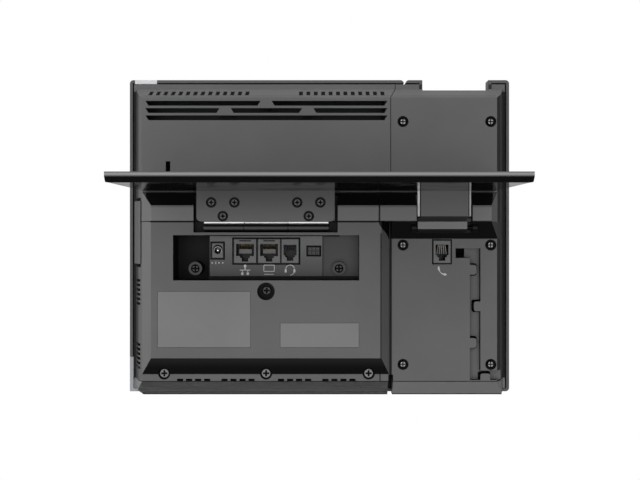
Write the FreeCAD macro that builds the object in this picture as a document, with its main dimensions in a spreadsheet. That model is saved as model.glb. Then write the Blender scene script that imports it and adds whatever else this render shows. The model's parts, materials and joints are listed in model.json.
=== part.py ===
import FreeCAD, Part
import os
import re

import Sketcher

# Desk phone on its tilt stand. Every piece is drawn in the body's own upright frame: X to the
# right seen from the front, Y from the front face to the back, Z up the body from the chin.
# At the end each piece is turned so that the chin and the stand's foot lie on the desk, Z = 0.

SIZES = [
    # body and skirt
    ("body_width", 260, "overall width"),
    ("body_top", 214, "upper edge of the front shells"),
    ("body_low", 0.7, "lower edge of the front shells"),
    ("skirt_depth", 10.6, "depth of the front shells"),
    ("skirt_wall", 2, "wall of the skirt"),
    ("skirt_gap", 1, "shadow gap between skirt and rear covers"),
    ("front_wall", 2.4, "thickness of the front face"),
    ("front_split", 71.6, "from the body's left edge to the line between the front shells"),
    ("front_seam", 1, "gap between the two front shells"),
    ("corner", 2.5, "corner radius of the front shells"),
    ("seam", 0.4, "gap between neighbouring shells"),
    ("fit", 0.2, "clearance round a seated piece"),
    ("wall", 2.2, "wall of the rear covers"),
    ("nest_depth", 5, "where the rear covers begin inside the skirt"),
    # rear covers
    ("rim_depth", 11, "depth of the flat rim round the rear covers"),
    ("rim_flat", 1.4, "width of that rim at the sides"),
    ("shoulder_depth", 22, "depth where the side wall meets its bevel"),
    ("shoulder_inset", 5.2, "side wall's lean from rim to bevel"),
    ("face_inset", 8.6, "from rim to the edge of the rear face"),
    ("face_depth", 27, "depth of the rear face"),
    ("raised_depth", 36, "depth of the raised lower back"),
    ("top_flat", 3.2, "width of the rim along the top"),
    ("top_bevel", 8.1, "height of the bevel along the top"),
    ("chin_depth", 18, "depth of the chin's lowest edge"),
    ("raised_right", 7.8, "from the rear face's edge to the raised back"),
    ("raised_left", 6.8, "from that line to the raised back"),
    ("raised_left_slope", 5.8, "slope at the left edge"),
    ("raised_top", 127.3, "upper edge of the raised back"),
    ("raised_top_slope", 9.7, "slope above it"),
    ("raised_low", 27.1, "lower edge of the raised back"),
    ("raised_low_slope", 12.3, "slope below it"),
    ("cover_split", 116.8, "line between upper and lower cover"),
    ("section_split", 82.5, "from the body's left edge to the line between the sections"),
    ("section_shift", 4.4, "sideways step of that line at the top bevel"),
    ("section_step", 1.4, "sideways step of that line between the chins"),
    ("chin_step_top", 14.8, "height of the notch between the chins"),
    ("chin_corner", 6.5, "cut of the main section's lower outer corner"),
    ("cradle_corner", 2.5, "cut of the handset section's lower outer corner"),
    # ridge of the handset section
    ("ridge_low", 116.9, "lower edge of the ridge"),
    ("ridge_low_slope", 11.3, "slope below the ridge"),
    ("ridge_end", 5.5, "from the rear face's edge to the ridge's end"),
    ("ridge_end_slope", 5.8, "slope at that end"),
    ("ridge_start", 8.2, "ridge past the line between the sections"),
    # vents
    ("louvre_right", 2.4, "from the rear face's edge to the louvres"),
    ("louvre_left", 2.2, "from that line to the louvres"),
    ("louvre_slant", 2, "slant of the louvre ends"),
    ("louvre_high", 3.2, "height of one louvre"),
    ("louvre_top", 16.7, "from the body's upper edge to the first louvre"),
    ("louvre_pitch", 4.85, "spacing of the louvres"),
    ("bridge_wide", 7.5, "bridge across a louvre"),
    ("bridge_middle", 35.6, "bridge of the first louvre"),
    ("bridge_outer", 62.9, "right bridge of the second louvre"),
    ("bridge_inner", 7.8, "left bridge of the second louvre"),
    ("slot_wide", 2.6, "width of a slot in the top row"),
    ("slot_pitch", 5, "spacing of those slots"),
    ("slot_right", 4.7, "from the rear face's edge to the first top slot"),
    ("slot_left", 5, "from that line to the last top slot"),
    ("slot_near", 16, "front end of a slot"),
    ("slot_far", 23, "rear end of a slot"),
    ("dash_wide", 4.1, "width of a vent dash above the chin"),
    ("dash_high", 1.4, "height of a vent dash"),
    ("dash_pitch", 6, "spacing of the dashes"),
    ("dash_z", 11.3, "height of the dashes"),
    ("dash_group_a", 10.6, "from that screw to the first group of dashes"),
    ("dash_group_b", 63.3, "first dash of the second group"),
    ("dash_group_c", 25.6, "first dash of the third group"),
    ("dash_group_d", 28.8, "from that screw to the fourth group of dashes"),
    ("grille_high", 1.7, "height of a slot in the side grilles"),
    ("grille_pitch", 3.1, "spacing of the side slots"),
    ("grille_upper", 61, "lowest slot of the upper side grille"),
    ("grille_lower", 18, "lowest slot of the lower side grille"),
    # lock slot, labels
    ("lock_x", 29, "from the body's edge to the lock slot"),
    ("lock_z", 153.5, "middle of the lock slot"),
    ("lock_wide", 3, "width of the lock slot"),
    ("lock_high", 7, "height of the lock slot"),
    ("label_thick", 0.4, "thickness of a label and of its recess"),
    ("label_a_left", 45.4, "left edge of the large label"),
    ("label_a_right", 4.4, "from the raised back's edge to the large label"),
    ("label_a_top", 70.7, "upper edge of the large label"),
    ("label_b_left", 14.9, "from the raised back's left edge to the small label"),
    ("label_b_right", 25.6, "right edge of the small label"),
    ("label_b_top", 50, "upper edge of the small label"),
    ("label_low", 34.2, "lower edge of both labels"),
    # screws
    ("screw_head", 2.5, "radius of a screw head"),
    ("screw_rise", 1.8, "height of a screw head"),
    ("screw_crown", 0.5, "how much narrower the flat top of a screw head is"),
    ("centre_head", 3, "radius of the centre screw's head"),
    ("foot_head", 3.3, "radius of a lower screw's head"),
    ("foot_well", 4, "radius of a lower screw's well"),
    ("recess_arm", 0.6, "reach of a screw's cross recess, as a share of the head's radius"),
    ("recess_half", 0.38, "half the width of that recess"),
    ("screw_shank", 1.3, "radius of a screw shank"),
    ("screw_long", 9, "length of a cover screw's shank"),
    ("screw_well", 3.6, "radius of a screw well"),
    ("screw_seat", 24.6, "depth of the screw seats"),
    ("screw_hole", 1.6, "radius of the hole for a screw"),
    ("boss_depth", 22.2, "where the posts meet the covers"),
    ("post_radius", 2.4, "radius of a screw post"),
    ("well_wall", 1.4, "wall round a screw well"),
    ("foot_screw_z", 15.6, "height of the three lower screws"),
    ("foot_screw_right", 26.5, "from the body's edge to the right lower screw"),
    ("foot_screw_middle", 35.6, "middle lower screw"),
    ("foot_screw_left", 14.7, "from the line between the sections to the left lower screw"),
    ("centre_screw_x", 35.1, "screw below the ports"),
    ("centre_screw_z", 70.9, "height of that screw"),
    ("centre_well", 5.8, "radius of its well"),
    ("cavity_screw_z", 85.6, "height of the screws beside the ports"),
    ("cavity_screw_right", 82.6, "right screw beside the ports"),
    ("cavity_screw_left", -13, "left screw beside the ports"),
    ("cavity_seat", 26.4, "depth of those two seats"),
    ("cavity_boss", 4.5, "radius of the bosses under them"),
    ("cradle_screw_in", 8.2, "from the line between the sections to the inner screws"),
    ("cradle_screw_out", 15.8, "from the body's edge to the outer screws"),
    ("cradle_screw_top", 30.5, "from the body's upper edge to the upper screws"),
    ("cradle_screw_mid", 101.2, "middle handset section screws"),
    ("cradle_screw_low", 21.6, "lower handset section screws"),
    # port cavity, panel and sockets
    ("cavity_right", 96.1, "right wall of the port cavity"),
    ("cavity_left", 26.1, "left wall of the port cavity"),
    ("cavity_top", 107.8, "upper wall of the port cavity"),
    ("cavity_low", 78.1, "lower wall of the port cavity"),
    ("cavity_floor", 25, "depth of the cavity's floor"),
    ("pocket_floor", 15, "depth of the deeper pocket beside the panel"),
    ("pocket_lip", 1, "ledge between panel and pocket"),
    ("panel_right", 73.1, "right edge of the port panel"),
    ("panel_left", -1.9, "left edge of the port panel"),
    ("panel_top", 107.2, "upper edge of the port panel"),
    ("panel_low", 80.4, "lower edge of the port panel"),
    ("panel_thick", 2, "thickness of the port panel"),
    ("panel_seat", 0.8, "ledge under the port panel's edge"),
    ("socket_proud", 0.3, "how far a socket stands out of the panel"),
    ("socket_gap", 0.6, "gap round a socket"),
    ("socket_wall", 1.5, "least wall of a socket"),
    ("net_x", 49.6, "network socket"),
    ("pc_x", 33.6, "computer socket"),
    ("net_wide", 15.4, "width of a network socket"),
    ("net_low", 88.9, "lower edge of a network socket"),
    ("net_top", 105.4, "upper edge of a network socket"),
    ("net_plug_wide", 11.9, "width of its opening"),
    ("net_plug_low", 93.9, "lower edge of its opening"),
    ("net_plug_high", 8, "height of its opening"),
    ("latch_wide", 4.3, "width of the latch notch"),
    ("latch_high", 3.7, "height of the latch notch"),
    ("latch_step_wide", 6.5, "width of that notch next to the opening"),
    ("latch_step", 1.3, "height of that wider step"),
    ("net_slot_wide", 7.8, "width of the slot above a network opening"),
    ("net_slot_high", 0.9, "height of that slot"),
    ("net_slot_drop", 0.9, "from the socket's top to that slot"),
    ("net_slot_deep", 2.5, "depth of that slot"),
    ("plug_deep", 11.5, "depth of the plug openings"),
    ("small_wide", 12, "width of a headset socket"),
    ("headset_x", 19.6, "headset socket"),
    ("small_plug_wide", 8.6, "width of its opening"),
    ("small_plug_high", 7, "height of its opening"),
    ("small_plug_low", 94.4, "lower edge of its opening"),
    ("power_x", 67.7, "axis of the power socket"),
    ("power_z", 98.4, "height of the power socket's axis"),
    ("power_wide", 8, "width of the power socket"),
    ("power_high", 10.4, "height of the power socket"),
    ("power_aside", 0.2, "from the power socket's axis to the middle of its block"),
    ("power_drop", 0.9, "from its axis down to the middle of its block"),
    ("power_hole", 3.1, "radius of the power socket's hole"),
    ("power_pin", 1.05, "radius of its centre pin"),
    ("expansion_x", 3.8, "six way connector"),
    ("expansion_z", 97.2, "height of the six way connector"),
    ("expansion_wide", 8.2, "width of the connector"),
    ("expansion_high", 5.6, "height of the connector"),
    ("pin_pitch", 2.54, "pin spacing of the connector"),
    ("pin_hole", 0.55, "radius of a hole of the connector"),
    ("handset_jack_x", 48.3, "from the body's left edge to the handset socket"),
    ("handset_jack_top", 104.4, "upper edge of the handset socket"),
    ("strain_x", 36, "from the body's left edge to the opening beside that socket"),
    ("strain_z", 95.8, "its height"),
    ("strain_size", 6.5, "its size"),
    # cord channel of the handset section
    ("channel_in", 29.7, "from the body's edge to the cord channel's inner wall"),
    ("channel_out", 22.7, "from the body's edge to its outer wall"),
    ("channel_low", 11.2, "lower end of the cord channel"),
    ("channel_leg", 6.4, "height of the leg to the side"),
    ("channel_floor", 22.3, "depth of the channel's floor"),
    ("tab_long", 6.5, "length of a cord tab"),
    ("tab_reach", 4.3, "reach of a cord tab"),
    ("tab_thick", 1.6, "thickness of a cord tab"),
    ("tab_round", 1.5, "rounding of a cord tab"),
    ("tab_gap", 0.9, "slit round a cord tab"),
    ("tab_a", 84.7, "first cord tab"),
    ("tab_b", 60.3, "second cord tab"),
    ("tab_c", 35.9, "third cord tab"),
    # top notch of the handset section
    ("notch_in", 59.5, "from the body's edge to the top notch's inner side"),
    ("notch_out", 14.2, "from the body's edge to the top notch's outer side"),
    ("notch_floor", 7.5, "depth of the top notch"),
    # side accessory cover, light, trim
    ("side_cover_low", 88.5, "lower end of the side cover"),
    ("side_cover_top", 130.6, "upper end of the side cover"),
    ("side_cover_end", 2.2, "recess left open at each end"),
    ("side_cover_in", 10.6, "from the body's edge to the side cover's inner face"),
    ("light_right", 3.5, "from the body's edge to the message light"),
    ("light_left", 18.6, "from the body's edge to the light's other end"),
    ("light_high", 2.7, "height of the message light"),
    ("light_front", 1.2, "where the light begins behind the front"),
    ("trim_high", 23.6, "height of the corner trim"),
    ("trim_wide", 8, "width of the corner trim along the chin"),
    # display and keys
    ("glass_right", 7, "from the body's edge to the display glass"),
    ("glass_left", 8.4, "from the line between the front shells to the glass"),
    ("glass_low", 102, "lower edge of the display glass"),
    ("glass_top", 8, "from the body's upper edge to the display glass"),
    ("glass_thick", 1.5, "thickness of the display glass"),
    ("glass_lip", 6, "width of the ledge under the glass"),
    ("glass_corner", 4, "corner radius of the glass"),
    ("module_thick", 3.4, "thickness of the display module"),
    ("module_left", 7, "from the glass's left edge to the display module"),
    ("module_margin", 2, "display module past the window"),
    ("key_proud", 1.6, "height of a key above the front"),
    ("key_gap", 0.35, "gap round a key"),
    ("key_flange", 1, "flange round a key"),
    ("key_flange_thick", 0.7, "thickness of that flange"),
    ("key_round", 0.7, "rounding of a key's edge"),
    ("key_corner", 1.6, "corner radius of a key"),
    ("dial_wide", 17.5, "width of a dial key"),
    ("dial_high", 11.5, "height of a dial key"),
    ("dial_x", 42.9, "from the line between the front shells to the middle dial keys"),
    ("dial_z", 86, "first row of dial keys"),
    ("dial_column", 21.5, "column spacing"),
    ("dial_row", 15.5, "row spacing"),
    ("side_key_wide", 15, "width of a function key"),
    ("side_key_high", 10, "height of a function key"),
    ("side_key_x", 34, "from the body's edge to the function keys"),
    ("side_key_column", 19, "from function keys to audio keys"),
    ("nav_x", 51.6, "navigation ring"),
    ("nav_z", 67, "height of the navigation ring"),
    ("nav_outer", 20, "outer radius of the ring"),
    ("nav_inner", 9.5, "inner radius of the ring"),
    ("select_radius", 8.8, "radius of the select key"),
    ("rocker_z", 35, "height of the volume rocker"),
    ("rocker_wide", 40, "width of the volume rocker"),
    ("rocker_high", 10, "height of the volume rocker"),
    ("tilt_room", 0.6, "extra room behind the front for tilting keys"),
    # boards
    ("mat_depth", 5.2, "front face of the keypad mat"),
    ("mat_margin", 2.5, "mat past the keys"),
    ("board_depth", 6.4, "front face of the main board"),
    ("board_thick", 1.6, "thickness of the boards"),
    ("board_left", 4.3, "from the line between the sections to the main board"),
    ("board_margin", 3.5, "from skirt to main board"),
    ("port_board_depth", 11, "front face of the port board"),
    ("port_board_margin", 2.4, "port board past the panel"),
    ("board_strip", 9.5, "width of the two strips that join the boards"),
    ("standoff_radius", 3, "radius of a board standoff"),
    # handset and cradle
    ("handset_x", 35.5, "from the body's left edge to the middle of the handset"),
    ("handset_z", 1.85, "handset's middle below the body's middle"),
    ("handset_half", 97, "half the handset's length"),
    ("handset_wide", 44, "width of the handset"),
    ("handset_arch", 9, "rise of the outer arch"),
    ("handset_grip", 7, "rise of the inner arch"),
    ("handset_back_y", 24, "front of the handset at its ends"),
    ("handset_grip_y", 13, "back of the grip at its ends"),
    ("handset_cup", 4, "depth of the cups behind the cradle face"),
    ("handset_end", 12, "rounding of the handset's ends"),
    ("handset_edge", 5, "rounding of the handset's long edges"),
    ("handset_wall", 2, "wall of the handset shells"),
    ("grip_part", 19, "parting line of the handset shells at the grip"),
    ("grip_part_half", 13, "half the length of the grip's covered middle"),
    ("cup_start", 49, "from the middle to where a cup begins"),
    ("grip_end", 40, "half the length of the grip's inner arch"),
    ("part_line", 9, "parting line of the handset shells at the cups"),
    ("well_gap", 1, "room round the handset's cups"),
    ("rest_gap", 0.3, "gap under the handset's cups"),
    ("receiver_at", 23, "from the handset's ends to receiver and microphone"),
    ("receiver_radius", 15, "radius of the receiver"),
    ("receiver_deep", 7.5, "depth of the receiver"),
    ("microphone_radius", 5, "radius of the microphone"),
    ("microphone_deep", 4.5, "depth of the microphone"),
    ("sound_hole", 1.2, "radius of a sound hole"),
    ("sound_ring", 4.5, "radius of the ring of sound holes"),
    ("speaker_radius", 16.5, "radius of the loudspeaker"),
    ("speaker_back", 12, "depth of the loudspeaker's back"),
    ("speaker_cone", 14, "radius of the loudspeaker's hollow"),
    ("speaker_magnet", 10, "radius of its magnet"),
    ("magnet_thick", 4.4, "thickness of its magnet"),
    ("hook_at", 39, "from the handset's upper end to the hook plunger"),
    ("hook_radius", 4, "radius of the hook plunger"),
    ("hook_flange", 6, "radius of its flange"),
    ("hook_travel", 4, "travel of the hook plunger"),
    ("switch_back", 20, "depth of the hook switch's back"),
    ("switch_wide", 10, "width of the hook switch"),
    # stand and hinges
    ("stand_under", 136.9, "underside of the stand plate"),
    ("stand_thick", 5.5, "thickness of the stand plate"),
    ("stand_reach", 137, "where the foot's facet begins"),
    ("stand_root", 28, "front edge of the stand plate"),
    ("stand_wide", 231.4, "width of the stand plate"),
    ("foot_rise", 2.8, "height of the foot's facet"),
    ("foot_strip", 5.2, "width of the rubber foot under the plate"),
    ("under_thick", 2.2, "thickness of the glossy under cover"),
    ("leg_right", 80.7, "right edge of the wide leg"),
    ("leg_left", -10, "left edge of the wide leg"),
    ("leg_thick", 3, "thickness of the wide leg"),
    ("leg_corner", 3, "rounding of the wide leg's lower corners"),
    ("arm_in", 65.4, "from the body's edge to the narrow leg's inner edge"),
    ("arm_out", 30.2, "from the body's edge to the narrow leg's outer edge"),
    ("arm_low", 119, "lower edge of the narrow leg"),
    ("arm_bevel", 2, "bevel along the narrow leg's sides"),
    ("lug_step", 2.4, "gap between the narrow leg and the lug below it"),
    ("lug_back", 3, "how far the lug stands behind the hinge axis"),
    ("hinge_y", 33, "depth of the hinge axis"),
    ("hinge_z", 112.8, "height of the hinge axis"),
    ("knuckle", 2.8, "radius of a hinge knuckle"),
    ("pin_radius", 1.5, "radius of the hinge pins"),
    ("pin_play", 0.15, "play of a knuckle on its pin"),
    ("pin_fit", 0.05, "clearance of a fixed pin or screw in its hole"),
    ("leaf_thick", 1.5, "thickness of the hinge leaves"),
    ("leaf_gap", 0.3, "gap between the leaves"),
    ("leaf_set", 1.2, "from the hinge axis forward to the stand's leaf"),
    ("leaf_right", 76.1, "right end of the hinge"),
    ("leaf_left", -5.9, "left end of the hinge"),
    ("leaf_top", 134, "upper edge of the leaves"),
    ("knuckle_right", 49.7, "seam between right and middle knuckle"),
    ("knuckle_left", 20.7, "seam between middle and left knuckle"),
    ("knuckle_gap", 0.4, "gap between the knuckles"),
    ("recess_gap", 2, "room beside the wide leg"),
    ("hinge_screw_top", 129.3, "upper hinge screws"),
    ("hinge_screw_low", 120.3, "lower hinge screws"),
    ("hinge_screw_a", 63.4, "middle of the right screw triangle"),
    ("hinge_screw_b", 7, "middle of the left screw triangle"),
    ("hinge_screw_side", 7.6, "half the width of a screw triangle"),
    ("hinge_screw_sunk", 1.6, "depth of a hinge screw's well"),
    ("hinge_well", 3.3, "radius of a hinge screw's well"),
    ("hinge_shank", 1.2, "radius of a hinge screw's shank"),
    ("side_knuckle", 3.1, "radius of the narrow leg's knuckle"),
    ("side_knuckle_out", 2.8, "from the narrow leg's edge to the end of its knuckle"),
    ("arm_room", 0.8, "room beside the narrow leg"),
    ("cheek_wide", 3.2, "thickness of the cheeks that hold the side pin"),
]

Vector = FreeCAD.Vector
os.makedirs("parts", exist_ok=True)
doc = FreeCAD.newDocument("desk_phone")
sheet = doc.addObject("Spreadsheet::Sheet", "Sizes")
for row, (alias, size, note) in enumerate(SIZES, 1):
    sheet.set(f"A{row}", note)
    sheet.set(f"B{row}", str(size))
    sheet.setAlias(f"B{row}", alias)
doc.recompute()
NAMES = {alias for alias, size, note in SIZES}
nodes = []


def bound(formula):
    """Write a formula of size and place names as an expression on the sheet."""
    def cell(word):
        name = word.group(0)
        if name in PLACES:
            return f"({bound(PLACES[name])})"
        return "Sizes." + name if name in NAMES else name
    return re.sub(r"[a-z_][a-z_0-9]*", cell, str(formula))


def value(formula):
    """The present value of such a formula."""
    return float(sheet.evalExpression(bound(formula)))


def bind(thing, prop, formula):
    thing.setExpression(prop, bound(formula))


# Sketches. A loop is a list of corners (a, b), rounded ones (a, b, radius) where two sides that run
# along the axes meet, and an arc to the next corner as (a, b, radius, side), or one circle.

def circle(a, b, radius):
    return ("circle", a, b, radius)


def place_point(sketch, item, end, a, b):
    for kind, formula in (("DistanceX", a), ("DistanceY", b)):
        index = sketch.addConstraint(Sketcher.Constraint(kind, -1, 1, item, end, value(formula)))
        sketch.setExpression(f"Constraints[{index}]", bound(f"0 + {formula}"))


def draw_circle(sketch, a, b, radius):
    item = sketch.addGeometry(Part.Circle(Vector(value(a), value(b), 0), Vector(0, 0, 1), value(radius)),
                              False)
    place_point(sketch, item, 3, a, b)
    index = sketch.addConstraint(Sketcher.Constraint("Radius", item, value(radius)))
    sketch.setExpression(f"Constraints[{index}]", bound(radius))


def step_along(start, end, radius):
    """Formulas of the point one radius along a side that runs parallel to an axis."""
    across = value(end[0]) - value(start[0])
    along = value(end[1]) - value(start[1])
    if abs(across) > abs(along):
        return f"({start[0]}) {'+' if across > 0 else '-'} ({radius})", start[1]
    return start[0], f"({start[1]}) {'+' if along > 0 else '-'} ({radius})"


def loop_stations(loop):
    """Corners in order, each with the radius and side of the arc that leaves it, or None."""
    stations = []
    count = len(loop)
    for index, corner in enumerate(loop):
        if len(corner) == 3:
            before = step_along(corner, loop[index - 1], corner[2])
            after = step_along(corner, loop[(index + 1) % count], corner[2])
            middle = (value(before[0]) + value(after[0]) - value(corner[0]),
                      value(before[1]) + value(after[1]) - value(corner[1]))
            stations.append((before, (corner[2], middle)))
            stations.append((after, None))
        elif len(corner) == 4:
            stations.append((corner[:2], (corner[2], corner[3])))
        else:
            stations.append((corner, None))
    return stations


def arc_middle(start, end, radius, side):
    """Centre of the arc from start to end that bulges to the given side of its chord."""
    chord = end - start
    height = (radius ** 2 - (chord.Length / 2) ** 2) ** 0.5
    normal = Vector(-chord.y, chord.x, 0).normalize()
    return (start + end) * 0.5 - normal * (height * side)


def draw_loop(sketch, loop):
    if loop[0] == "circle":
        draw_circle(sketch, *loop[1:])
        return
    stations = loop_stations(loop)
    places = [Vector(value(a), value(b), 0) for (a, b), arc in stations]
    first = sketch.GeometryCount
    ends = []
    for index, ((a, b), arc) in enumerate(stations):
        start, end = places[index], places[(index + 1) % len(places)]
        if arc is None:
            sketch.addGeometry(Part.LineSegment(start, end), False)
            ends.append((1, 2))
            continue
        radius = value(arc[0])
        middle = Vector(*arc[1], 0) if isinstance(arc[1], tuple) else arc_middle(start, end, radius, arc[1])
        turn = (start - middle).cross(end - middle).z
        ring = Part.Circle(middle, Vector(0, 0, 1), radius)
        low, high = (start, end) if turn > 0 else (end, start)
        sketch.addGeometry(Part.ArcOfCircle(ring, ring.parameter(low), ring.parameter(high)), False)
        ends.append((1, 2) if turn > 0 else (2, 1))
    count = len(stations)
    for index, ((a, b), arc) in enumerate(stations):
        item, after = first + index, (index + 1) % count
        sketch.addConstraint(Sketcher.Constraint("Coincident", item, ends[index][1], first + after,
                                                 ends[after][0]))
        place_point(sketch, item, ends[index][0], a, b)
        if arc is not None:
            radius = sketch.addConstraint(Sketcher.Constraint("Radius", item, value(arc[0])))
            sketch.setExpression(f"Constraints[{radius}]", bound(arc[0]))


def rect(low_a, high_a, low_b, high_b, radius=None):
    corners = [(low_a, low_b), (high_a, low_b), (high_a, high_b), (low_a, high_b)]
    return corners if radius is None else [corner + (radius,) for corner in corners]


def rect_at(a, b, wide, high, radius=None):
    return rect(f"{a} - ({wide}) / 2", f"{a} + ({wide}) / 2", f"{b} - ({high}) / 2", f"{b} + ({high}) / 2",
                radius)


# Plain solids and their combinations.

def box(x, y, z):
    solid = doc.addObject("Part::Box", "box")
    for side, axis, (low, high) in zip(("Length", "Width", "Height"), "xyz", (x, y, z)):
        bind(solid, side, f"({high}) - ({low})")
        bind(solid, f"Placement.Base.{axis}", f"0 + {low}")
    return solid


def rod(axis, centre, radius, span):
    """A round rod along X or Y. The centre gives the other two places."""
    solid = doc.addObject("Part::Cylinder", "rod")
    turn = FreeCAD.Rotation(Vector(0, 1, 0), 90) if axis == "x" else FreeCAD.Rotation(Vector(1, 0, 0), -90)
    solid.Placement = FreeCAD.Placement(Vector(0, 0, 0), turn)
    bind(solid, "Radius", radius)
    bind(solid, "Height", f"({span[1]}) - ({span[0]})")
    places = {"x": (span[0],) + tuple(centre), "y": (centre[0], span[0], centre[1])}[axis]
    for name, place in zip("xyz", places):
        bind(solid, f"Placement.Base.{name}", f"0 + {place}")
    return solid


def prism(axis, span, *loops):
    """Loops drawn across an axis and pulled along it. Across x: (Y, Z), y: (X, Z), z: (X, Y)."""
    sketch = doc.addObject("Sketcher::SketchObject", "outline")
    turns = {"x": FreeCAD.Rotation(Vector(1, 1, 1), 120), "y": FreeCAD.Rotation(Vector(1, 0, 0), 90),
             "z": FreeCAD.Rotation()}
    sketch.Placement = FreeCAD.Placement(Vector(0, 0, 0), turns[axis])
    for loop in loops:
        draw_loop(sketch, loop)
    bind(sketch, f"Placement.Base.{axis}", f"0 + {span[1] if axis == 'y' else span[0]}")
    solid = doc.addObject("Part::Extrusion", "prism")
    solid.Base = sketch
    solid.DirMode = "Normal"
    solid.Solid = True
    bind(solid, "LengthFwd", f"({span[1]}) - ({span[0]})")
    return solid


def group(*things):
    compound = doc.addObject("Part::Compound", "group")
    compound.Links = list(things)
    return compound


def fuse(*things):
    if len(things) == 1:
        return things[0]
    joined = doc.addObject("Part::MultiFuse", "joined")
    joined.Shapes = list(things)
    joined.Refine = True
    return joined


def cut(base, *tools):
    result = doc.addObject("Part::Cut", "cut")
    result.Base = base
    result.Tool = fuse(*tools)
    return result


def common(first, second):
    result = doc.addObject("Part::Common", "common")
    result.Base = first
    result.Tool = second
    return result


class Moulding:
    """A PartDesign body whose sketches all lie across Y, worked from front to back."""

    def __init__(self, name):
        self.body = doc.addObject("PartDesign::Body", name)
        self.plane = next(f for f in self.body.Origin.OriginFeatures if f.Role == "XZ_Plane")

    def sketch(self, depth, loops):
        sketch = self.body.newObject("Sketcher::SketchObject", "sketch")
        sketch.AttachmentSupport = [(self.plane, "")]
        sketch.MapMode = "FlatFace"
        bind(sketch, "AttachmentOffset.Base.z", f"-({depth})")
        for loop in loops:
            draw_loop(sketch, loop)
        return sketch

    def pad(self, front, back, *loops):
        feature = self.body.newObject("PartDesign::Pad", "pad")
        feature.Profile = self.sketch(front, loops)
        feature.Reversed = True
        bind(feature, "Length", f"({back}) - ({front})")
        return self

    def pocket(self, front, back, *loops):
        feature = self.body.newObject("PartDesign::Pocket", "pocket")
        feature.Profile = self.sketch(front, loops)
        bind(feature, "Length", f"({back}) - ({front})")
        return self

    def round_front(self, depth, radius):
        """Round the edges that lie in the plane at this depth."""
        doc.recompute()
        level = value(depth)
        edges = [f"Edge{number}" for number, edge in enumerate(self.body.Shape.Edges, 1)
                 if all(abs(vertex.Point.y - level) < 1e-6 for vertex in edge.Vertexes)]
        form = self.body.Tip
        feature = self.body.newObject("PartDesign::Fillet", "round")
        feature.Base = (form, edges)
        bind(feature, "Radius", radius)
        return self


# The desk line runs from the chin's lowest edge to the stand's foot, and the piece frame's origin
# lies on it, in the middle of the chin's facet.
DESK_SLOPE = "(stand_under / (stand_reach - chin_depth))"
DESK_ANGLE = "atan2(stand_under; stand_reach - chin_depth)"
ORIGIN_Y = "((chin_depth + face_depth) / 2)"
ORIGIN_Z = f"(({ORIGIN_Y} - chin_depth) * {DESK_SLOPE})"


def node(label, thing):
    """Name a finished piece and turn it to the phone's standing angle."""
    thing = thing.body if isinstance(thing, Moulding) else thing
    thing.Label = label
    thing.Placement = FreeCAD.Placement(Vector(0, 0, 0), FreeCAD.Rotation(Vector(1, 0, 0), -45))
    bind(thing, "Placement.Rotation.Angle", f"-{DESK_ANGLE}")
    bind(thing, "Placement.Base.y", f"-({ORIGIN_Y} * cos({DESK_ANGLE}) + {ORIGIN_Z} * sin({DESK_ANGLE}))")
    bind(thing, "Placement.Base.z", f"{ORIGIN_Y} * sin({DESK_ANGLE}) - {ORIGIN_Z} * cos({DESK_ANGLE})")
    nodes.append(thing)


# Places that several pieces share.
HALF = "(body_width / 2)"
RIM = f"({HALF} - skirt_wall - skirt_gap)"
FACE = f"({RIM} - face_inset)"
SKIRT_IN = f"({HALF} - skirt_wall)"
TOP_IN = "(body_top - skirt_wall)"
LOW_IN = "(body_low + skirt_wall)"
TOP_RIM = "(body_top - skirt_wall - skirt_gap)"
BEVEL_TOP = f"({TOP_RIM} - top_flat)"
FACE_TOP = f"({BEVEL_TOP} - top_bevel)"
COVER_LOW = f"({LOW_IN} + seam)"
CHIN_TOP = f"((face_depth - chin_depth) * {DESK_SLOPE})"
MAIN_EDGE = "(-section_x + seam / 2)"
CRADLE_EDGE = "(-section_x - seam / 2)"
MAIN_FRONT = "(-front_split_x + front_seam / 2)"
CRADLE_FRONT = "(-front_split_x - front_seam / 2)"
BEYOND = "(raised_depth + 10)"

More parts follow.
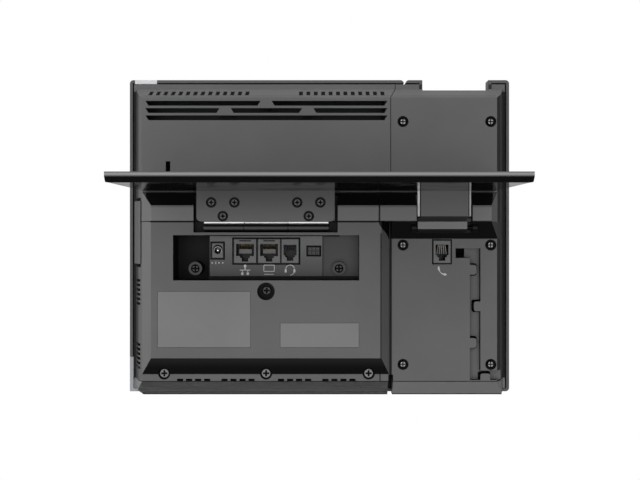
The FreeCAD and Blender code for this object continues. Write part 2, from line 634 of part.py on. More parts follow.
# Places measured in from an edge or line, so that they keep their distance when a size changes.
PLACES = {
    "raised_right_x": f"{FACE} - raised_right",
    "louvre_right_x": f"{FACE} - louvre_right",
    "slot_right_x": f"{FACE} - slot_right",
    "lock_at": f"{HALF} - lock_x",
    "label_a_right_x": "raised_right_x - label_a_right",
    "foot_screw_right_x": f"{HALF} - foot_screw_right",
    "dash_a_x": "foot_screw_right_x - dash_group_a",
    "side_cover_in_x": f"{HALF} - side_cover_in",
    "light_right_x": f"{HALF} - light_right",
    "light_left_x": f"{HALF} - light_left",
    "glass_right_x": f"{HALF} - glass_right",
    "side_key_at": f"{HALF} - side_key_x",
    "front_split_x": f"{HALF} - front_split",
    "section_x": f"{HALF} - section_split",
    "ridge_start_x": "section_x - ridge_start",
    "raised_left_x": "section_x - raised_left",
    "louvre_left_x": "section_x - louvre_left",
    "slot_left_x": "-section_x + slot_left + 11 * slot_pitch",
    "glass_left_x": "-front_split_x + glass_left",
    "module_left_x": "glass_left_x + module_left",
    "board_left_x": "-section_x + board_left",
    "label_b_left_x": "-raised_left_x + label_b_left",
    "foot_screw_left_x": "-section_x + foot_screw_left",
    "dash_d_x": "foot_screw_left_x + dash_group_d",
    "dial_at": "-front_split_x + dial_x",
    "cradle_screw_in_x": "section_x + cradle_screw_in",
    "cradle_screw_out_x": f"{HALF} - cradle_screw_out",
    "ridge_end_x": f"{FACE} - ridge_end",
    "notch_in_x": f"{HALF} - notch_in",
    "notch_out_x": f"{HALF} - notch_out",
    "channel_in_x": f"{HALF} - channel_in",
    "channel_out_x": f"{HALF} - channel_out",
    "handset_jack_at": f"handset_jack_x - {HALF}",
    "strain_at": f"strain_x - {HALF}",
    "arm_in_x": f"{HALF} - arm_in",
    "arm_out_x": f"{HALF} - arm_out",
    "side_knuckle_out_x": "arm_out_x - side_knuckle_out",
    "handset_at": f"handset_x - {HALF}",
    "glass_top_z": "body_top - glass_top",
    "notch_floor_z": "body_top - notch_floor",
    "cradle_screw_top_z": "body_top - cradle_screw_top",
    "louvre_top_z": "body_top - louvre_top",
    "handset_at_z": "(body_top + body_low) / 2 - handset_z",
    "receiver_off": "handset_half - receiver_at",
    "hook_z": "handset_at_z + handset_half - hook_at",
}


def side_outline(inset):
    """The rear covers across the body, in X and Y, moved in by an inset."""
    rim, flat = f"({RIM} - {inset})", f"({RIM} - rim_flat - {inset})"
    shoulder, face = f"({RIM} - shoulder_inset - {inset})", f"({FACE} - {inset})"
    front = f"nest_depth - {inset}"
    right = [(rim, front), (rim, f"rim_depth - {inset}"), (flat, f"rim_depth - {inset}"),
             (shoulder, f"shoulder_depth - {inset}"), (face, f"face_depth - {inset}")]
    left = [(f"-{x}", y) for x, y in reversed(right)]
    return right + left


def cover_outline():
    """The rear covers seen from the side, in Y and Z."""
    return [("nest_depth", COVER_LOW), ("skirt_depth + seam", COVER_LOW), ("skirt_depth + seam", 0),
            ("chin_depth", 0), ("face_depth", CHIN_TOP), ("face_depth", FACE_TOP),
            ("rim_depth", BEVEL_TOP), ("rim_depth", TOP_RIM), ("nest_depth", TOP_RIM)]


def cover_hollow_outline():
    """The space inside them, in Y and Z."""
    return [("nest_depth - wall", f"{COVER_LOW} + wall"), ("chin_depth", f"{COVER_LOW} + wall"),
            ("face_depth - wall", f"{CHIN_TOP} + wall / 2"), ("face_depth - wall", f"{FACE_TOP} - wall / 2"),
            ("rim_depth - wall", f"{BEVEL_TOP} - wall"), ("rim_depth - wall", f"{TOP_RIM} - wall"),
            ("nest_depth - wall", f"{TOP_RIM} - wall")]


def section_loop(edge, outer, inset, side):
    """The region of one section seen from behind, in X and Z, ending at the line between them."""
    step = f"({edge} + {side} * {inset})"
    shifted = f"({step} - section_shift)"
    low = f"({step} + {side} * section_step)"
    return [(outer, -1), (outer, "body_top + 1"), (shifted, "body_top + 1"), (shifted, BEVEL_TOP),
            (step, FACE_TOP), (step, "chin_step_top"), (low, "chin_step_top"), (low, -1)]


def chin_wedges(grow):
    """The lower outer corners that both sections lack, grown by a wall on the inside."""
    edge, wedges = f"({RIM} - rim_flat)", []
    for side, corner in (("", "chin_corner"), ("-", "cradle_corner")):
        reach = f"({corner} + {grow} * 1.5 + 1)"
        wedges.append(prism("y", (f"rim_depth - {grow}", BEYOND), [
            (f"{side}({edge} - {reach})", -1), (f"{side}({edge} + 1)", -1), (f"{side}({edge} + 1)", reach)]))
    return wedges


def cover_blanks():
    """Outer form and hollow shared by all three rear covers."""
    outer = common(prism("z", (-1, "body_top + 1"), side_outline(0)),
                   prism("x", (f"-{HALF}", HALF), cover_outline()))
    outer = cut(outer, *chin_wedges(0))
    hollow = common(prism("z", (-1, "body_top + 1"), side_outline("wall")),
                    prism("x", (f"-{HALF}", HALF), cover_hollow_outline()))
    hollow = cut(hollow, *chin_wedges("wall"))
    return outer, hollow


def raised_block(inset):
    """The raised lower back: a low block with four sloped sides."""
    right, right_base = f"raised_right_x - {inset}", f"{FACE} - {inset}"
    left, left_base = f"-raised_left_x + {inset}", f"-raised_left_x - raised_left_slope + {inset}"
    root = "face_depth - wall * 2"
    plan = [(right_base, root), (right_base, f"face_depth - {inset}"), (right, f"raised_depth - {inset}"),
            (left, f"raised_depth - {inset}"), (left_base, f"face_depth - {inset}"), (left_base, root)]
    low, low_base = f"raised_low + {inset}", f"raised_low - raised_low_slope + {inset}"
    top, top_base = f"raised_top - {inset}", f"raised_top + raised_top_slope - {inset}"
    view = [(root, low_base), (f"face_depth - {inset}", low_base), (f"raised_depth - {inset}", low),
            (f"raised_depth - {inset}", top), (f"face_depth - {inset}", top_base), (root, top_base)]
    return common(prism("z", (0, "body_top"), plan), prism("x", (f"-{HALF}", HALF), view))


def screw_well(x, z, radius, seat):
    """Wall and openings of a screw well: a tube to the post, the well and the screw hole."""
    tube = rod("y", (x, z), f"{radius} + well_wall", ("boss_depth", "raised_depth"))
    well = rod("y", (x, z), radius, (seat, BEYOND))
    hole = rod("y", (x, z), "screw_hole", ("boss_depth - 1", f"{seat} + 1"))
    return tube, [well, hole]


FOOT_SCREWS = [("foot_screw_right_x", "foot_screw_z"), ("foot_screw_middle", "foot_screw_z"),
               ("foot_screw_left_x", "foot_screw_z")]
CAVITY_SCREWS = [("cavity_screw_right", "cavity_screw_z"), ("cavity_screw_left", "cavity_screw_z")]
CENTRE_SCREW = ("centre_screw_x", "centre_screw_z")
CRADLE_ROWS = ["cradle_screw_top_z", "cradle_screw_mid", "cradle_screw_low"]
INNER_SCREWS = [("-cradle_screw_in_x", row) for row in CRADLE_ROWS]
OUTER_SCREWS = [("-cradle_screw_out_x", row) for row in CRADLE_ROWS]

SIDE_PIN = ("-arm_out_x - arm_room - cheek_wide", "-arm_in_x + arm_room + cheek_wide")
RECESS_RIGHT = "(leg_right + recess_gap)"
RECESS_LEFT = "(leg_left - recess_gap)"
RECESS_FLOOR = "(hinge_y - knuckle - fit)"
RECESS_LOW = "(hinge_z - knuckle - seam)"


def louvre_loops():
    """Three louvres with slanted ends: one bridge in the first, two in the second."""
    bridges = [["bridge_middle"], ["bridge_outer", "bridge_inner"], []]
    loops = []
    for row, middles in enumerate(bridges):
        top = f"louvre_top_z - {row} * louvre_pitch"
        low = f"{top} - louvre_high"
        starts = [("louvre_right_x", "louvre_right_x - louvre_slant")]
        ends = []
        for middle in middles:
            ends.append((f"{middle} + bridge_wide / 2", f"{middle} + bridge_wide / 2 + louvre_slant"))
            starts.append((f"{middle} - bridge_wide / 2", f"{middle} - bridge_wide / 2 - louvre_slant"))
        ends.append(("-louvre_left_x", "-louvre_left_x + louvre_slant"))
        for (start_top, start_low), (end_top, end_low) in zip(starts, ends):
            loops.append([(start_top, top), (end_top, top), (end_low, low), (start_low, low)])
    return loops


def vent_cuts():
    """The slots of the top row, the dashes above the chin and the two side grilles."""
    cuts = [prism("y", ("face_depth - wall - 1", "face_depth + 1"), *louvre_loops())]
    for start, count in (("slot_right_x", 14), ("slot_left_x", 12)):
        for index in range(count):
            x = f"{start} - {index} * slot_pitch"
            cuts.append(box((f"{x} - slot_wide / 2", f"{x} + slot_wide / 2"), ("slot_near", "slot_far"),
                            (f"{FACE_TOP} - wall", BEVEL_TOP)))
    for start in ("dash_a_x", "dash_group_b", "dash_group_c", "dash_d_x"):
        for index in range(4):
            x = f"{start} - {index} * dash_pitch"
            cuts.append(box((f"{x} - dash_wide / 2", f"{x} + dash_wide / 2"),
                            ("face_depth - wall - 1", "face_depth + 1"),
                            ("dash_z - dash_high / 2", "dash_z + dash_high / 2")))
    for start in ("grille_upper", "grille_lower"):
        for index in range(6):
            z = f"{start} + {index} * grille_pitch"
            cuts.append(box((f"{FACE} - 1", HALF), ("rim_depth + wall", "face_depth - wall"),
                            (z, f"{z} + grille_high")))
    return cuts


def main_cover():
    """Upper and lower rear cover as one form, split below."""
    outer, hollow = cover_blanks()
    region = prism("y", (0, BEYOND), section_loop(MAIN_EDGE, f"{HALF} + 1", 0, 1))
    inside = prism("y", (-1, BEYOND), section_loop(MAIN_EDGE, f"{HALF} + 1", "wall", 1))
    ridge_room = box(("-section_x - 1", "-ridge_start_x + seam"), ("face_depth", BEYOND),
                     ("cover_split", "body_top"))
    blank = cut(fuse(common(outer, region), raised_block(0)), ridge_room)
    shell = cut(blank, common(hollow, inside), raised_block("wall"))
    tubs = [
        box((f"{RECESS_LEFT} - wall", f"{RECESS_RIGHT} + wall"), (f"{RECESS_FLOOR} - wall", BEYOND),
            (f"{RECESS_LOW} - wall", "raised_top + raised_top_slope + wall")),
        box(("-cavity_left - wall", "cavity_right + wall"), ("cavity_floor - wall", BEYOND),
            ("cavity_low - wall", "cavity_top + wall")),
        box(("panel_right + pocket_lip - well_wall", "cavity_right + wall"), ("pocket_floor - wall", BEYOND),
            ("cavity_low - wall", "cavity_top + wall")),
        box(("side_cover_in_x - wall", HALF), ("rim_depth - wall", BEYOND),
            ("side_cover_low - side_cover_end - wall", "side_cover_top + side_cover_end + wall")),
    ]
    cuts = [
        box((RECESS_LEFT, RECESS_RIGHT), (RECESS_FLOOR, BEYOND), (RECESS_LOW, "stand_under + stand_thick")),
        cut(fuse(box(("-cavity_left", "cavity_right"), ("cavity_floor", BEYOND),
                     ("cavity_low", "cavity_top")),
                 box(("panel_right + pocket_lip", "cavity_right"), ("pocket_floor", BEYOND),
                     ("cavity_low", "cavity_top"))),
            *[rod("y", place, "cavity_boss", ("pocket_floor - 1", "cavity_seat + screw_rise"))
              for place in CAVITY_SCREWS]),
        rod("y", CAVITY_SCREWS[0], "standoff_radius + fit", ("pocket_floor - wall - 1", "boss_depth")),
        box(("panel_left + panel_seat", "panel_right - panel_seat"),
            ("cavity_floor - wall - 1", "cavity_floor + 1"),
            ("panel_low + panel_seat", "panel_top - panel_seat")),
        box(("side_cover_in_x", f"{HALF} + 1"), ("rim_depth + seam", BEYOND),
            ("side_cover_low - side_cover_end", "side_cover_top + side_cover_end")),
        box(("lock_at - lock_wide / 2", "lock_at + lock_wide / 2"),
            ("face_depth - wall - 1", "face_depth + 1"),
            ("lock_z - lock_high / 2", "lock_z + lock_high / 2")),
        box(("label_a_left - fit", "label_a_right_x + fit"), ("raised_depth - label_thick", BEYOND),
            ("label_low - fit", "label_a_top + fit")),
        box(("label_b_left_x - fit", "label_b_right + fit"), ("raised_depth - label_thick", BEYOND),
            ("label_low - fit", "label_b_top + fit")),
    ]
    wells = [screw_well(x, z, "foot_well", "screw_seat") for x, z in FOOT_SCREWS]
    wells.append(screw_well(*CENTRE_SCREW, "centre_well", "cavity_seat"))
    wells += [screw_well(x, z, "(screw_head + fit)", "cavity_seat") for x, z in CAVITY_SCREWS]
    for tube, openings in wells:
        tubs.append(tube)
        cuts += openings
    walled = fuse(shell, common(fuse(*tubs), blank))
    return cut(walled, *(cuts + vent_cuts()))


def rear_covers():
    cover = main_cover()
    upper = box((f"-{HALF}", HALF), (0, BEYOND), ("cover_split + seam / 2", "body_top"))
    lower = box((f"-{HALF}", HALF), (0, BEYOND), (-1, "cover_split - seam / 2"))
    node("upper_rear_cover", common(cover, upper))
    node("lower_rear_cover", common(cover, lower))


def channel_solids():
    """Groove for the handset cord, its walls and the tabs that hold the cord in."""
    strain = [f"strain_z {side} strain_size / 2" for side in "-+"]
    runs = [(("-channel_out_x", "-channel_in_x"), ("channel_low", strain[1])),
            (("-channel_in_x", "strain_at - strain_size / 2"), strain),
            ((f"-{HALF}", "-channel_out_x"), ("channel_low", "channel_low + channel_leg"))]
    walls = [box((f"{x0} - well_wall", f"{x1} + well_wall"), ("channel_floor - well_wall", "face_depth"),
                 (f"{z0} - well_wall", f"{z1} + well_wall")) for (x0, x1), (z0, z1) in runs]
    tabs, slits = [], []
    grown = ((tabs, ("face_depth - tab_thick", "face_depth"), "0"),
             (slits, ("channel_floor - well_wall - 1", "channel_floor + 1"), "tab_gap"))
    for root, side, z in (("-channel_in_x", "-", "tab_a"), ("-channel_out_x", "+", "tab_b"),
                          ("-channel_in_x", "-", "tab_c")):
        for parts, depth, grow in grown:
            tip = f"{root} {side} (tab_reach + {grow})"
            low, high = f"{z} - tab_long / 2 - {grow}", f"{z} + tab_long / 2 + {grow}"
            parts.append(prism("y", depth, [(root, low), (tip, low, "tab_round"), (tip, high, "tab_round"),
                                            (root, high)]))
    x = "-channel_out_x - tab_long"
    for parts, depth, grow in grown:
        left, right = f"{x} - {grow}", f"{x} + tab_long + {grow}"
        tip = f"channel_low + tab_reach + {grow}"
        parts.append(prism("y", depth, [(left, "channel_low"), (right, "channel_low"),
                                        (right, tip, "tab_round"), (left, tip, "tab_round")]))
    groove = fuse(*[box(x, ("channel_floor", BEYOND), z) for x, z in runs])
    return walls, [cut(groove, *tabs), *slits]


def cradle_rear_cover():
    outer, hollow = cover_blanks()
    region = prism("y", (0, BEYOND), section_loop(CRADLE_EDGE, f"-{HALF} - 1", 0, -1))
    inside = prism("y", (-1, BEYOND), section_loop(CRADLE_EDGE, f"-{HALF} - 1", "wall", -1))
    top_base = "raised_top + raised_top_slope"
    root = "face_depth - wall / 2"
    view = [(root, "ridge_low - ridge_low_slope"), ("face_depth", "ridge_low - ridge_low_slope"),
            ("raised_depth", "ridge_low"), ("raised_depth", "raised_top"),
            ("face_depth", top_base), (root, top_base)]
    end_slope = [(CRADLE_EDGE, root), (CRADLE_EDGE, BEYOND),
                 ("-ridge_end_x", BEYOND), ("-ridge_end_x", "raised_depth"),
                 ("-ridge_end_x - ridge_end_slope", "face_depth"), ("-ridge_end_x - ridge_end_slope", root)]
    ridge = common(prism("x", (f"-{HALF}", CRADLE_EDGE), view), prism("z", (0, "body_top"), end_slope))
    over = [("face_depth + seam", "cover_split + seam"), ("raised_depth", "cover_split + seam"),
            ("raised_depth", "raised_top"), ("face_depth + seam", f"{top_base} - seam")]
    lip = prism("x", (CRADLE_EDGE, "-ridge_start_x"), over)
    blank = fuse(common(outer, region), ridge, lip)
    hollow_view = [("face_depth - wall * 2", "ridge_low"), ("raised_depth - wall * 2", "ridge_low"),
                   ("raised_depth - wall * 2", "raised_top"), ("face_depth - wall * 2", "raised_top")]
    ridge_hollows = [prism("x", span, hollow_view) for span in
                     (("-arm_in_x + arm_room + wall * 2", f"{CRADLE_EDGE} - wall"),
                      ("-ridge_end_x", "-arm_out_x - arm_room - cheek_wide"))]
    shell = cut(blank, common(hollow, inside), *ridge_hollows)
    walls, cuts = channel_solids()
    walls.append(box(("-notch_out_x - wall", "-notch_in_x + wall"), ("skirt_depth + seam", "face_depth"),
                     ("notch_floor_z - wall", "body_top")))
    walls.append(box(("handset_at - switch_wide / 2", "handset_at + switch_wide / 2"),
                     ("switch_back", "face_depth"),
                     ("hook_z - switch_wide / 2", "hook_z + switch_wide / 2")))
    cuts.append(box(("-notch_out_x", "-notch_in_x"), (0, BEYOND), ("notch_floor_z", "body_top + 1")))
    cuts.append(box(("-notch_out_x - skirt_wall - fit", "-notch_in_x + skirt_wall + fit"),
                    (0, "skirt_depth + seam"),
                    ("notch_floor_z - skirt_wall - fit", "body_top + 1")))
    cuts.append(box(("handset_jack_at - small_wide / 2 - socket_gap",
                     "handset_jack_at + small_wide / 2 + socket_gap"), ("face_depth - wall - 1", BEYOND),
                    ("net_low - socket_gap", "handset_jack_top + socket_gap")))
    cuts.append(box(("strain_at - strain_size / 2", "strain_at + strain_size / 2"),
                    ("channel_floor - well_wall - 1", BEYOND),
                    ("strain_z - strain_size / 2", "strain_z + strain_size / 2")))
    for x, z in INNER_SCREWS + OUTER_SCREWS:
        tube, openings = screw_well(x, z, "screw_well", "screw_seat")
        walls.append(tube)
        cuts += openings
    arm_space = box(("-arm_out_x - arm_room", "-arm_in_x + arm_room"),
                    ("hinge_y - side_knuckle - seam", BEYOND),
                    ("hinge_z - side_knuckle - seam", "stand_under + stand_thick"))
    cheeks = []
    for low in ("-arm_out_x - arm_room - cheek_wide", "-arm_in_x + arm_room"):
        span = (low, f"{low} + cheek_wide")
        cheeks.append(box(span, (root, "hinge_y"), ("hinge_z - side_knuckle", "hinge_z + side_knuckle")))
        cheeks.append(rod("x", ("hinge_y", "hinge_z"), "side_knuckle", span))
    pin_hole = rod("x", ("hinge_y", "hinge_z"), "pin_radius + pin_fit", SIDE_PIN)
    floor = box(("-arm_out_x - arm_room - wall", "-arm_in_x + arm_room + wall"),
                ("face_depth - wall", "face_depth"),
                ("ridge_low - ridge_low_slope - wall", f"{top_base} + wall"))
    walled = fuse(shell, common(fuse(*walls, floor), blank))
    covered = fuse(cut(walled, *cuts, arm_space), *cheeks)
    node("cradle_rear_cover", cut(covered, pin_hole))


def front_housing():
    """Main front shell: face, skirt, windows for display and keys, and screw posts."""
    shell = Moulding("front_housing")
    shell.pad(0, "skirt_depth", rect(MAIN_FRONT, HALF, "body_low", "body_top", "corner"))
    shell.pocket("front_wall", "skirt_depth", rect(f"{MAIN_FRONT} + skirt_wall", SKIRT_IN, LOW_IN, TOP_IN))
    shell.pocket("nest_depth - seam", "skirt_depth",
                 rect(f"{MAIN_FRONT} - 1", f"{MAIN_FRONT} + skirt_wall + 1", LOW_IN, TOP_IN))
    posts = FOOT_SCREWS + INNER_SCREWS
    shell.pad("front_wall - 1", "boss_depth", *[circle(x, z, "post_radius") for x, z in posts])
    shell.pocket("boss_depth - screw_long", "boss_depth",
                 *[circle(x, z, "screw_shank + pin_fit") for x, z in posts])
    shell.pocket(0, "glass_thick + fit", rect("glass_left_x - fit", "glass_right_x + fit",
                                              "glass_low - fit", "glass_top_z + fit", "glass_corner + fit"))
    shell.pocket(0, "front_wall", rect(*WINDOW, "glass_corner"))
    for x, z, wide, high in KEYS.values():
        shell.pocket(0, "front_wall", rect_at(x, z, f"{wide} + key_gap * 2", f"{high} + key_gap * 2",
                                              "key_corner + key_gap"))
    shell.pocket(0, "front_wall", circle("nav_x", "nav_z", "nav_outer + key_gap"))
    shell.pocket("light_front", "skirt_depth",
                 rect("light_left_x - fit", "light_right_x + fit", f"{TOP_IN} - 1", "body_top + 1"))
    shell.pocket("light_front", "skirt_depth",
                 trim_loop(f"{SKIRT_IN} - 1", f"{HALF} + 1", "body_low - 1", f"{LOW_IN} + 1", "fit"))
    node("front_housing", shell)


def trim_loop(inner, outer, low, high, gap):
    """The L of the corner trim, grown by a gap where it meets the front shell."""
    return [(f"{HALF} - trim_wide - {gap}", low), (outer, low), (outer, f"body_low + trim_high + {gap}"),
            (inner, f"body_low + trim_high + {gap}"), (inner, high), (f"{HALF} - trim_wide - {gap}", high)]


WINDOW = ("glass_left_x + glass_lip", "glass_right_x - glass_lip", "glass_low + glass_lip",
          "glass_top_z - glass_lip")

KEYS = {}
for place in range(12):
    name = ["1", "2", "3", "4", "5", "6", "7", "8", "9", "star", "0", "hash"][place]
    column, row = place % 3 - 1, place // 3
    KEYS[f"dial_key_{name}"] = (f"(dial_at + {column} * dial_column)", f"(dial_z - {row} * dial_row)",
                                "dial_wide", "dial_high")
for row, (inner, outer) in enumerate((("hold_key", "headset_key"), ("transfer_key", "mute_key"),
                                      ("message_key", "speaker_key"))):
    KEYS[inner] = ("side_key_at", f"(dial_z - {row} * dial_row)", "side_key_wide", "side_key_high")
    KEYS[outer] = ("(side_key_at + side_key_column)", f"(dial_z - {row} * dial_row)", "side_key_wide",
                   "side_key_high")
KEYS["volume_rocker"] = ("nav_x", "rocker_z", "rocker_wide", "rocker_high")


def cradle_front_housing():
    """Front shell of the handset section: two wells, the hook opening and the sound holes."""
    shell = Moulding("cradle_front_housing")
    shell.pad(0, "skirt_depth", rect(f"-{HALF}", CRADLE_FRONT, "body_low", "body_top", "corner"))
    shell.pocket("front_wall", "skirt_depth",
                 rect(f"-{SKIRT_IN}", f"{CRADLE_FRONT} - skirt_wall", LOW_IN, TOP_IN))
    shell.pocket("nest_depth - seam", "skirt_depth",
                 rect(f"{CRADLE_FRONT} - skirt_wall - 1", f"{CRADLE_FRONT} + 1", LOW_IN, TOP_IN))
    low_x, high_x = "handset_at - handset_wide / 2 - well_gap", "handset_at + handset_wide / 2 + well_gap"
    start = "(cup_start - (cup_start - grip_end) * handset_cup / (handset_cup + handset_grip_y) - well_gap)"
    ear = (f"handset_at_z + {start}", "handset_at_z + handset_half + well_gap")
    mouth = ("handset_at_z - handset_half - well_gap", f"handset_at_z - {start}")
    floor = "handset_cup + rest_gap"
    backs = [rect(f"{low_x} - skirt_wall", f"{high_x} + skirt_wall", f"{low} - skirt_wall",
                  f"{high} + skirt_wall") for low, high in (ear, mouth)]
    shell.pad("front_wall - 1", f"{floor} + skirt_wall", *backs)
    shell.pad("front_wall - 1", "boss_depth", *[circle(x, z, "post_radius") for x, z in OUTER_SCREWS])
    shell.pocket("boss_depth - screw_long", "boss_depth",
                 *[circle(x, z, "screw_shank + pin_fit") for x, z in OUTER_SCREWS])
    shell.pad(0, "skirt_depth", rect("-notch_out_x - skirt_wall", "-notch_in_x + skirt_wall",
                                     "notch_floor_z - skirt_wall", "body_top - 1"))
    shell.pocket(0, floor, rect(low_x, high_x, *ear, "corner"), rect(low_x, high_x, *mouth, "corner"))
    shell.pocket(0, "skirt_depth", rect("-notch_out_x", "-notch_in_x", "notch_floor_z", "body_top + 1"))
    shell.pocket(0, f"{floor} + skirt_wall", circle("handset_at", "hook_z", "hook_radius + key_gap"))
    holes = [circle("handset_at", "handset_at_z", "sound_hole")]
    for ring, count in ((1, 6), (2, 12)):
        for index in range(count):
            turn = f"{360 / count * index} deg"
            holes.append(circle(f"handset_at + {ring} * sound_ring * cos({turn})",
                                f"handset_at_z + {ring} * sound_ring * sin({turn})", "sound_hole"))
    shell.pocket(0, "front_wall", *holes)
    node("cradle_front_housing", shell)


def small_outer_pieces():
    trim = Moulding("corner_trim")
    trim.pad("light_front + fit", "skirt_depth",
             trim_loop(f"{SKIRT_IN} - skirt_gap / 2", HALF, "body_low", LOW_IN, 0))
    node("corner_trim", trim)
    light = Moulding("status_light")
    light.pad("light_front + fit", "skirt_depth",
              rect("light_left_x", "light_right_x", "body_top - light_high", "body_top"))
    node("status_light", light)
    shoulder = f"({RIM} - shoulder_inset)"
    outline = [("side_cover_in_x", "rim_depth + seam * 2"), (f"{RIM} - seam", "rim_depth + seam * 2"),
               (f"{RIM} - rim_flat", "rim_depth + wall * 2"), (shoulder, "shoulder_depth + wall / 2"),
               ("side_cover_in_x", "face_depth - seam")]
    node("side_accessory_cover", group(prism("z", ("side_cover_low", "side_cover_top"), outline)))
    labels = [box(span, ("raised_depth - label_thick", "raised_depth"), ("label_low", top))
              for span, top in ((("label_a_left", "label_a_right_x"), "label_a_top"),
                                (("label_b_left_x", "label_b_right"), "label_b_top"))]
    node("rear_labels", group(*labels))


def screw(place, seat, long, shank="screw_shank", radius="screw_head"):
    """Pan head screw with a cross recess, its head towards the back."""
    x, z = place
    head = doc.addObject("Part::Cone", "head")
    head.Placement = FreeCAD.Placement(Vector(0, 0, 0), FreeCAD.Rotation(Vector(1, 0, 0), -90))
    bind(head, "Radius1", radius)
    bind(head, "Radius2", f"{radius} - screw_crown")
    bind(head, "Height", "screw_rise / 2")
    for axis, level in zip("xyz", (x, f"{seat} + screw_rise / 2", z)):
        bind(head, f"Placement.Base.{axis}", f"0 + {level}")
    rim = rod("y", (x, z), radius, (seat, f"{seat} + screw_rise / 2"))
    stem = rod("y", (x, z), shank, (f"{seat} - ({long})", seat))
    arm, half_arm = f"{radius} * recess_arm", "recess_half"
    depth = (f"{seat} + screw_rise / 3", f"{seat} + screw_rise + 1")
    bars = [box((f"{x} - {a}", f"{x} + {a}"), depth, (f"{z} - {b}", f"{z} + {b}"))
            for a, b in ((arm, half_arm), (half_arm, arm))]
    return cut(fuse(stem, rim, head), *bars)


def screws():
    main = [screw(place, "screw_seat", "screw_long", radius="foot_head") for place in FOOT_SCREWS]
    main += [screw(place, "cavity_seat", "screw_long") for place in CAVITY_SCREWS]
    main.append(screw(CENTRE_SCREW, "cavity_seat", "screw_long", radius="centre_head"))
    node("main_cover_screws", group(*main))
    cradle = [screw(place, "screw_seat", "screw_long") for place in INNER_SCREWS + OUTER_SCREWS]
    node("cradle_screws", group(*cradle))
    seat = f"({LEG_BACK} - hinge_screw_sunk)"
    long = f"{seat} - ({LEAF_FRONT}) - fit"
    node("hinge_screws", group(*[screw(place, seat, long, "hinge_shank") for place in HINGE_SCREWS]))


def socket(label, x, wide, low, top, back, opening):
    """A moulded socket block with a plug opening that faces the back."""
    block = Moulding(label)
    face = f"{back} + socket_proud"
    block.pad("port_board_depth + board_thick", face,
              rect(f"{x} - {wide} / 2", f"{x} + {wide} / 2", low, top))
    block.pocket(f"{face} - plug_deep", face, opening)
    return block


def plug_outline(x, wide, low, high):
    """A modular plug's opening with the stepped notch of its latch below it."""
    top, step, notch = f"{low} + {high}", f"{low} - latch_step", f"{low} - latch_high"
    half = [(f"{wide} / 2", top), (f"{wide} / 2", low), ("latch_step_wide / 2", low),
            ("latch_step_wide / 2", step), ("latch_wide / 2", step), ("latch_wide / 2", notch)]
    left = [(f"{x} - {across}", up) for across, up in half]
    right = [(f"{x} + {across}", up) for across, up in reversed(half)]
    return left + right


POWER_BLOCK = ("(power_x + power_aside)", "(power_z - power_drop)")


def sockets():
    """The five sockets, the six way connector and the panel round them."""
    back = "(cavity_floor + panel_thick)"
    for label, x in (("network_jack", "net_x"), ("pc_jack", "pc_x")):
        block = socket(label, x, "net_wide", "net_low", "net_top", back,
                       plug_outline(x, "net_plug_wide", "net_plug_low", "net_plug_high"))
        face, slot_top = f"({back} + socket_proud)", "(net_top - net_slot_drop)"
        block.pocket(f"{face} - net_slot_deep", face,
                     rect(f"{x} - net_slot_wide / 2", f"{x} + net_slot_wide / 2",
                          f"{slot_top} - net_slot_high", slot_top))
        node(label, block)
    for label, x, top, face in (("headset_jack", "headset_x", "net_top", back),
                                ("handset_jack", "handset_jack_at", "handset_jack_top", "face_depth")):
        node(label, socket(label, x, "small_wide", "net_low", top, face,
                           plug_outline(x, "small_plug_wide", "small_plug_low", "small_plug_high")))
    power = Moulding("power_jack")
    face = f"{back} + socket_proud"
    power.pad("port_board_depth + board_thick", face,
              rect_at(*POWER_BLOCK, "power_wide", "power_high"))
    power.pocket(f"{face} - plug_deep", face, circle("power_x", "power_z", "power_hole"))
    power.pad(f"{face} - plug_deep - 1", f"{face} - socket_wall", circle("power_x", "power_z", "power_pin"))
    node("power_jack", power)
    header = Moulding("expansion_connector")
    header.pad("port_board_depth + board_thick", face,
               rect_at("expansion_x", "expansion_z", "expansion_wide", "expansion_high"))
    holes = [circle(f"expansion_x + {across} * pin_pitch", f"expansion_z + {up} * pin_pitch / 2", "pin_hole")
             for across in (-1, 0, 1) for up in (-1, 1)]
    header.pocket(f"{face} - plug_deep / 2", face, *holes)
    node("expansion_connector", header)
    panel = Moulding("port_panel")
    panel.pad("cavity_floor", back, rect("panel_left", "panel_right", "panel_low", "panel_top"))
    for x, wide in (("net_x", "net_wide"), ("pc_x", "net_wide"), ("headset_x", "small_wide")):
        panel.pocket("cavity_floor", back,
                     rect(f"{x} - {wide} / 2 - socket_gap", f"{x} + {wide} / 2 + socket_gap",
                          "net_low - socket_gap", "net_top + socket_gap"))
    for middle, name in ((POWER_BLOCK, "power"), (("expansion_x", "expansion_z"), "expansion")):
        panel.pocket("cavity_floor", back,
                     rect_at(*middle, f"{name}_wide + socket_gap * 2", f"{name}_high + socket_gap * 2"))
    node("port_panel", panel)


